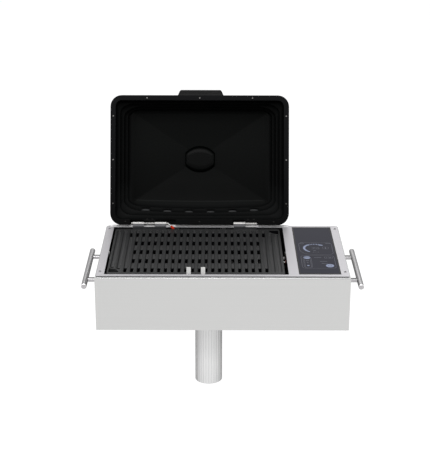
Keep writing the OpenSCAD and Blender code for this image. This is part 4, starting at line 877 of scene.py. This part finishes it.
def addDialTicks(cfg, onPanel):
    ticks = startPiece("panelTicks", [(0, 0, 0)])
    useTree(ticks, makeDialTicks(), {
        "Radius": sum(onPanel["dialRadii"]) / 2 * mm,
        "Start": math.radians(cfg["start"]),
        "Sweep": math.radians(cfg["end"] - cfg["start"]),
        "Count": cfg["count"],
        "Size": [v * mm for v in cfg["size"]],
        "Place": [v * mm for v in (*onPanel["dial"], sum(onPanel["span"]) / 2)],
    })
    settle(ticks, "base")


def islandTops(name, gap=12):
    # the middle and top of each separate solid of a CAD node, from its vertices, in mm
    groups = []
    for v in nodes[name].data.vertices:
        p = v.co / mm
        for g in groups:
            if (p.xy - g[0].xy).length < gap:
                g.append(p)
                break
        else:
            groups.append([p])
    tops = []
    for g in groups:
        low = [min(p[k] for p in g) for k in range(3)]
        high = [max(p[k] for p in g) for k in range(3)]
        tops.append(((low[0] + high[0]) / 2, (low[1] + high[1]) / 2, high[2]))
    return tops


screwRecess = {"length": 4.4, "width": 1.5, "depth": 0.04, "over": 0.01, "seed": 7}


def addRecesses(cfg):
    spots = [(x, y, z + cfg["depth"] / 2 + cfg["over"]) for x, y, z in islandTops("deck_screws")]
    recess = startPiece("deckScrewRecesses", spots)
    sizes = {label: cfg[label.lower()] * mm for label in ("Length", "Width", "Depth")}
    useTree(recess, makeCrossRecess(), {**sizes, "Seed": cfg["seed"]})
    settle(recess, "base")


addDialTicks(dialTicks, panel)
addRecesses(screwRecess)
print("small pieces added")


# Lid liner, rebuilt finer over the CAD one; its sizes are in the closed lid's own frame

lidFrame = {"mid": -22, "back": hingeAxis["back"], "up": hingeAxis["up"], "open": 112}

liner = {
    "half": 205, "front": -294, "rear": 3, "level": -6.3, "thick": 1.0,
    "rim": 12, "corner": 26, "hem": 1.6, "hemIn": 0.6, "rimRoll": [(1.2, 0), (0.35, 0.35), (0, 1.2)],
    "wall": 18, "wallShares": (0.35, 0.7, 1.0), "wallCorner": (15, 15),
    "ridges": 4, "ridgeHigh": 11, "ridgeWide": 8.1,
    "ridgeCorners": [(30, 22), (42, 26), (34, 20), (12, 10), (4, 4)],
    "ridgeShape": [(0.02, 0.14), (0.08, 0.34), (0.2, 0.52), (0.4, 0.70), (0.65, 0.86), (0.85, 0.95),
                   (1, 1)],
    "frontShare": 0.58, "rearShare": 1.25, "bows": [0, 2, 4, 4.5, 3], "bowPoints": 15,
    "roof": 14, "roofShares": (0.015, 0.04, 0.08, 0.3, 0.6, 1.0), "peak": 0.16, "peakCorner": (4, 4),
    "fold": 3.5, "foldBy": 0.08, "cornerSteps": 12, "sharp": 0.75,
    "pockets": [((-159, -8, -8), (-127.5, 5, 5)), ((-127.5, -2.2, -8), (-102.6, 5, 5)),
                ((-102.6, -8, -8), (-55, 5, 5)), ((76.5, -8, -8), (105.2, 5, 5)),
                ((105.2, -2.2, -8), (133.5, 5, 5)), ((-68, -14, -8), (-56, 5, -2.2))],
    # closed ends behind the pockets
    "pocketFloors": [((-159, -9, 5.1), (-128, 1.2, 5.9)), ((-102, -9, 5.1), (-54, 1.2, 5.9)),
                     ((76, -9, 5.1), (105, 1.2, 5.9)), ((-69, -15, -2.1), (-55, -8.2, -1.3))],
}


def lidPoint(x, y, z):
    # a point of the closed lid's frame, put where the open lid has it
    a = math.radians(lidFrame["open"])
    return (lidFrame["mid"] + x, lidFrame["back"] + math.cos(a) * y + math.sin(a) * z,
            lidFrame["up"] - math.sin(a) * y + math.cos(a) * z)


def linerLoop(cfg, inset, corner, z, scale=1.0, hem=0.0, bow=0.0):
    # past the rim the front wall is steeper, and the hinge side's wall is flatter
    extra = max(inset - cfg["rim"], 0)
    half = cfg["half"] - inset
    y0 = cfg["front"] + inset - extra * (1 - cfg["frontShare"])
    y1 = cfg["rear"] - inset - extra * (cfg["rearShare"] - 1) + hem
    rx, ry = corner
    outline = []
    for quarter in range(4):
        mx = half - rx if quarter in (0, 3) else rx - half
        my = y1 - ry if quarter < 2 else y0 + ry
        for k in range(cfg["cornerSteps"] + 1):
            a = math.radians(90 * quarter + 90 * k / cfg["cornerSteps"])
            outline.append((mx + rx * math.cos(a), my + ry * math.sin(a)))
        if quarter == 0:
            # the hinge side bows out towards its middle
            for k in range(1, cfg["bowPoints"] + 1):
                u = 1 - 2 * k / (cfg["bowPoints"] + 1)
                outline.append(((half - rx) * u, y1 + bow * (1 - u * u)))
    cy = (y0 + y1) / 2
    return [(x * scale, cy + (y - cy) * scale, z) for x, y in outline]


def between(a, b, t):
    return tuple(p + (q - p) * t for p, q in zip(a, b))


def linerLoops(cfg, t):
    # from the rim's outer edge to the roof's peak; t moves the loops to the liner's back
    level, outer, edge = cfg["level"] + t, cfg["corner"], cfg["rim"] - t
    loops = [linerLoop(cfg, cfg["hemIn"], (outer - cfg["hemIn"],) * 2, level, hem=cfg["hem"])]
    for short, rise in cfg["rimRoll"]:
        loops.append(linerLoop(cfg, edge - short, (outer - edge + short,) * 2, level + rise))
    corners = [cfg["wallCorner"]] + cfg["ridgeCorners"]
    for share in cfg["wallShares"]:
        corner = between((outer - edge,) * 2, corners[0], share)
        loops.append(linerLoop(cfg, edge, corner, level + cfg["wall"] * share))
    for k in range(cfg["ridges"]):
        for run, rise in cfg["ridgeShape"]:
            inset = edge + (k + run) * cfg["ridgeWide"]
            z = level + cfg["wall"] + (k + rise) * cfg["ridgeHigh"]
            bow = cfg["bows"][k] + (cfg["bows"][k + 1] - cfg["bows"][k]) * run
            loops.append(linerLoop(cfg, inset, between(corners[k], corners[k + 1], run), z, bow=bow))
    inset = edge + cfg["ridges"] * cfg["ridgeWide"]
    base = level + cfg["wall"] + cfg["ridges"] * cfg["ridgeHigh"]
    for share in cfg["roofShares"]:
        folded = cfg["fold"] * min(share / cfg["foldBy"], 1) * (1 - share)
        z = base + min(share * cfg["roof"] + folded, cfg["roof"])
        loops.append(linerLoop(cfg, inset, between(corners[-1], cfg["peakCorner"], share), z,
                               1 - share * (1 - cfg["peak"]), bow=cfg["bows"][-1] * (1 - share)))
    return loops


def skinned(loops, caps):
    # walls between the loops, and a face over the first or the last where caps says so
    n = len(loops[0])
    verts = [p for loop in loops for p in loop]
    faces = []
    for k in range(len(loops) - 1):
        for j in range(n):
            a, b = k * n + j, k * n + (j + 1) % n
            faces.append((a, b, b + n, a + n))
    if caps[0]:
        faces.append(tuple(range(n)))
    if caps[1]:
        faces.append(tuple(range(len(verts) - n, len(verts))))
    return verts, faces


def boxSolid(low, high):
    (x0, y0, z0), (x1, y1, z1) = low, high
    return slab([(x0, y0), (x1, y0), (x1, y1), (x0, y1)], z0, z1)


def startMesh(name, verts, faces, finish):
    mesh = bpy.data.meshes.new(name)
    mesh.from_pydata([Vector(v) * mm for v in verts], [], faces)
    shape = bmesh.new()
    shape.from_mesh(mesh)
    bmesh.ops.recalc_face_normals(shape, faces=shape.faces)
    shape.to_mesh(mesh)
    shape.free()
    mesh.materials.append(made[finish])
    obj = bpy.data.objects.new(name, mesh)
    bpy.context.scene.collection.objects.link(obj)
    return obj


vents = {
    "count": 6, "pitch": 50.5, "y": -33.0, "bow": 4.6, "wide": 27, "deep": 2.4, "arcPoints": 9,
    "low": 34, "high": 52,
}


def ventOutline(cfg, i):
    x = (i - (cfg["count"] - 1) / 2) * cfg["pitch"]
    y = cfg["y"] - cfg["bow"] * (x / (cfg["pitch"] * (cfg["count"] - 1) / 2)) ** 2
    points = [(x - cfg["wide"] / 2, y), (x + cfg["wide"] / 2, y)]
    for k in range(1, cfg["arcPoints"] + 1):
        u = 1 - 2 * k / (cfg["arcPoints"] + 1)
        points.append((x + u * cfg["wide"] / 2, y + cfg["deep"] * (1 - u * u)))
    return points


def paintLiner(mesh, cfg, loops, n):
    # rim, ridges and the roof's crest on the hinge side, the crest with a painted highlight; the roof keeps
    # the first finish
    for finish in ("rimEnamel", "ridgeEnamel", "crestHighlightEnamel"):
        mesh.materials.append(made[finish])
    rimEnd, roofStart = len(cfg["rimRoll"]), loops - len(cfg["roofShares"])
    for face in mesh.polygons:
        loop = min(face.vertices) // n
        spots = [v % n - cfg["cornerSteps"] for v in face.vertices]
        if loop < rimEnd or loop >= 2 * loops:
            face.material_index = 1
        elif loop < roofStart - 1:
            face.material_index = 2
        elif loop < roofStart + 2 and any(0 < spot <= cfg["bowPoints"] for spot in spots):
            face.material_index = 3


def makeLiner(cfg, slits):
    front, back = linerLoops(cfg, 0), linerLoops(cfg, cfg["thick"])
    n, total = len(front[0]), len(front) * len(front[0])
    verts, faces = gather([skinned(front, (False, True)), skinned(back, (False, True))])
    faces += [(j, total + j, total + (j + 1) % n, (j + 1) % n) for j in range(n)]
    verts, faces = gather([(verts, faces)] + [boxSolid(*floor) for floor in cfg["pocketFloors"]])
    obj = startMesh("linerSkin", [lidPoint(*v) for v in verts], faces, "linerEnamel")
    cuts = [boxSolid(*pocket) for pocket in cfg["pockets"]]
    cuts += [slab(ventOutline(slits, i), slits["low"], slits["high"]) for i in range(slits["count"])]
    tools = [startMesh("cut", [lidPoint(*p) for p in v], f, "linerEnamel") for v, f in cuts]
    for tool in tools:
        cut = obj.modifiers.new("cut", "BOOLEAN")
        cut.operation = "DIFFERENCE"
        cut.solver = "EXACT"
        cut.object = tool
    softened(obj, cfg["sharp"])
    paintLiner(obj.data, cfg, len(front), n)
    settle(obj, "lid")
    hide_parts("lid_liner")
    for tool in tools:
        bpy.data.objects.remove(tool)


boss = {
    "y": -152.3, "wide": 69, "round": 45, "off": 14, "face": 59.6, "steps": 20, "sharp": 0.9,
    # shares of the width and depth, and height over the face
    "levels": [(1.0, 1.0, 10.0), (1.0, 1.0, 7.4), (0.985, 0.955, 5.0), (0.965, 0.88, 3.0),
               (0.945, 0.79, 1.5), (0.92, 0.69, 0.6), (0.88, 0.57, 0.1), (0.8, 0.45, 0.0)],
}


def makeBoss(cfg):
    outline = []
    reach = math.asin(cfg["wide"] / 2 / cfg["round"])
    for sign in (1, -1):
        for k in range(cfg["steps"] + 1):
            a = reach - 2 * reach * k / cfg["steps"]
            x, y = cfg["round"] * math.sin(a), cfg["round"] * math.cos(a) - cfg["off"]
            outline.append((x * sign, y * sign))
    loops = []
    for sx, sy, z in cfg["levels"]:
        loops.append([lidPoint(x * sx, cfg["y"] + y * sy, cfg["face"] + z) for x, y in outline])
    obj = startMesh("linerBoss", *skinned(loops, (True, True)), "bossEnamel")
    softened(obj, cfg["sharp"])
    settle(obj, "lid")


ventLips = {"y": -26.6, "z": 38.9, "size": (9.5, 2.9, 1.5)}


def makeVentLips(cfg, slits):
    spots = []
    for i in range(slits["count"]):
        x, y = ventOutline(slits, i)[0]
        spots.append(lidPoint(x + slits["wide"] / 2, cfg["y"] + (y - slits["y"]), cfg["z"]))
    lips = startPiece("ventLips", spots)
    turn = (-math.radians(lidFrame["open"]), 0, 0)
    useTree(lips, makeLips(), {"Size": [v * mm for v in cfg["size"]], "Turn": turn})
    settle(lips, "lid")


makeLiner(liner, vents)
makeBoss(boss)
makeVentLips(ventLips, vents)
print("liner made")


# Trim along the deck's back edge: its turned edge, a thin pale strip and a low lip in the lid's shade, the
# strip and lip pale as painted light

deckTrims = {
    "deckHem": {"x": (-231.0, 291.0), "y": (147.7, 149.9), "z": (312.9, 314.0), "round": 0.5,
                "slope": 0, "finish": "deckBrushed"},
    # painted highlight: a thin pale sheet over the deck's back strip
    "deckBackTrim": {"x": (-226.5, 182.5), "y": (141.0, 147.8), "z": (313.99, 314.05), "round": 0.02,
                     "slope": 0, "finish": "paintedLightTrim"},
    # the lip is pale as painted light
    "deckLip": {"x": (-226.5, 182.5), "y": (149.5, 150.3), "z": (313.9, 315.9), "round": 0.3,
                "slope": 2.4, "finish": "paintedLightTrim"},
}


def makeDeckTrim(name, cfg):
    # a bar with a sloping front and a softened upper back edge
    (x0, x1), (y0, y1), (z0, z1), r = cfg["x"], cfg["y"], cfg["z"], cfg["round"]
    cut = 0.3 * r
    profile = [(y0 - cfg["slope"], z0), (y1, z0), (y1, z1 - r), (y1 - cut, z1 - cut), (y1 - r, z1),
               (y0, z1)]
    n = len(profile)
    verts = [(x, y, z) for x in (x0, x1) for y, z in profile]
    faces = [tuple(range(n)), tuple(range(2 * n - 1, n - 1, -1))]
    faces += [(i, n + i, n + (i + 1) % n, (i + 1) % n) for i in range(n)]
    obj = startMesh(name, verts, faces, cfg["finish"])
    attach(obj, "base")


for name, cfg in deckTrims.items():
    makeDeckTrim(name, cfg)
print("deck trim made")
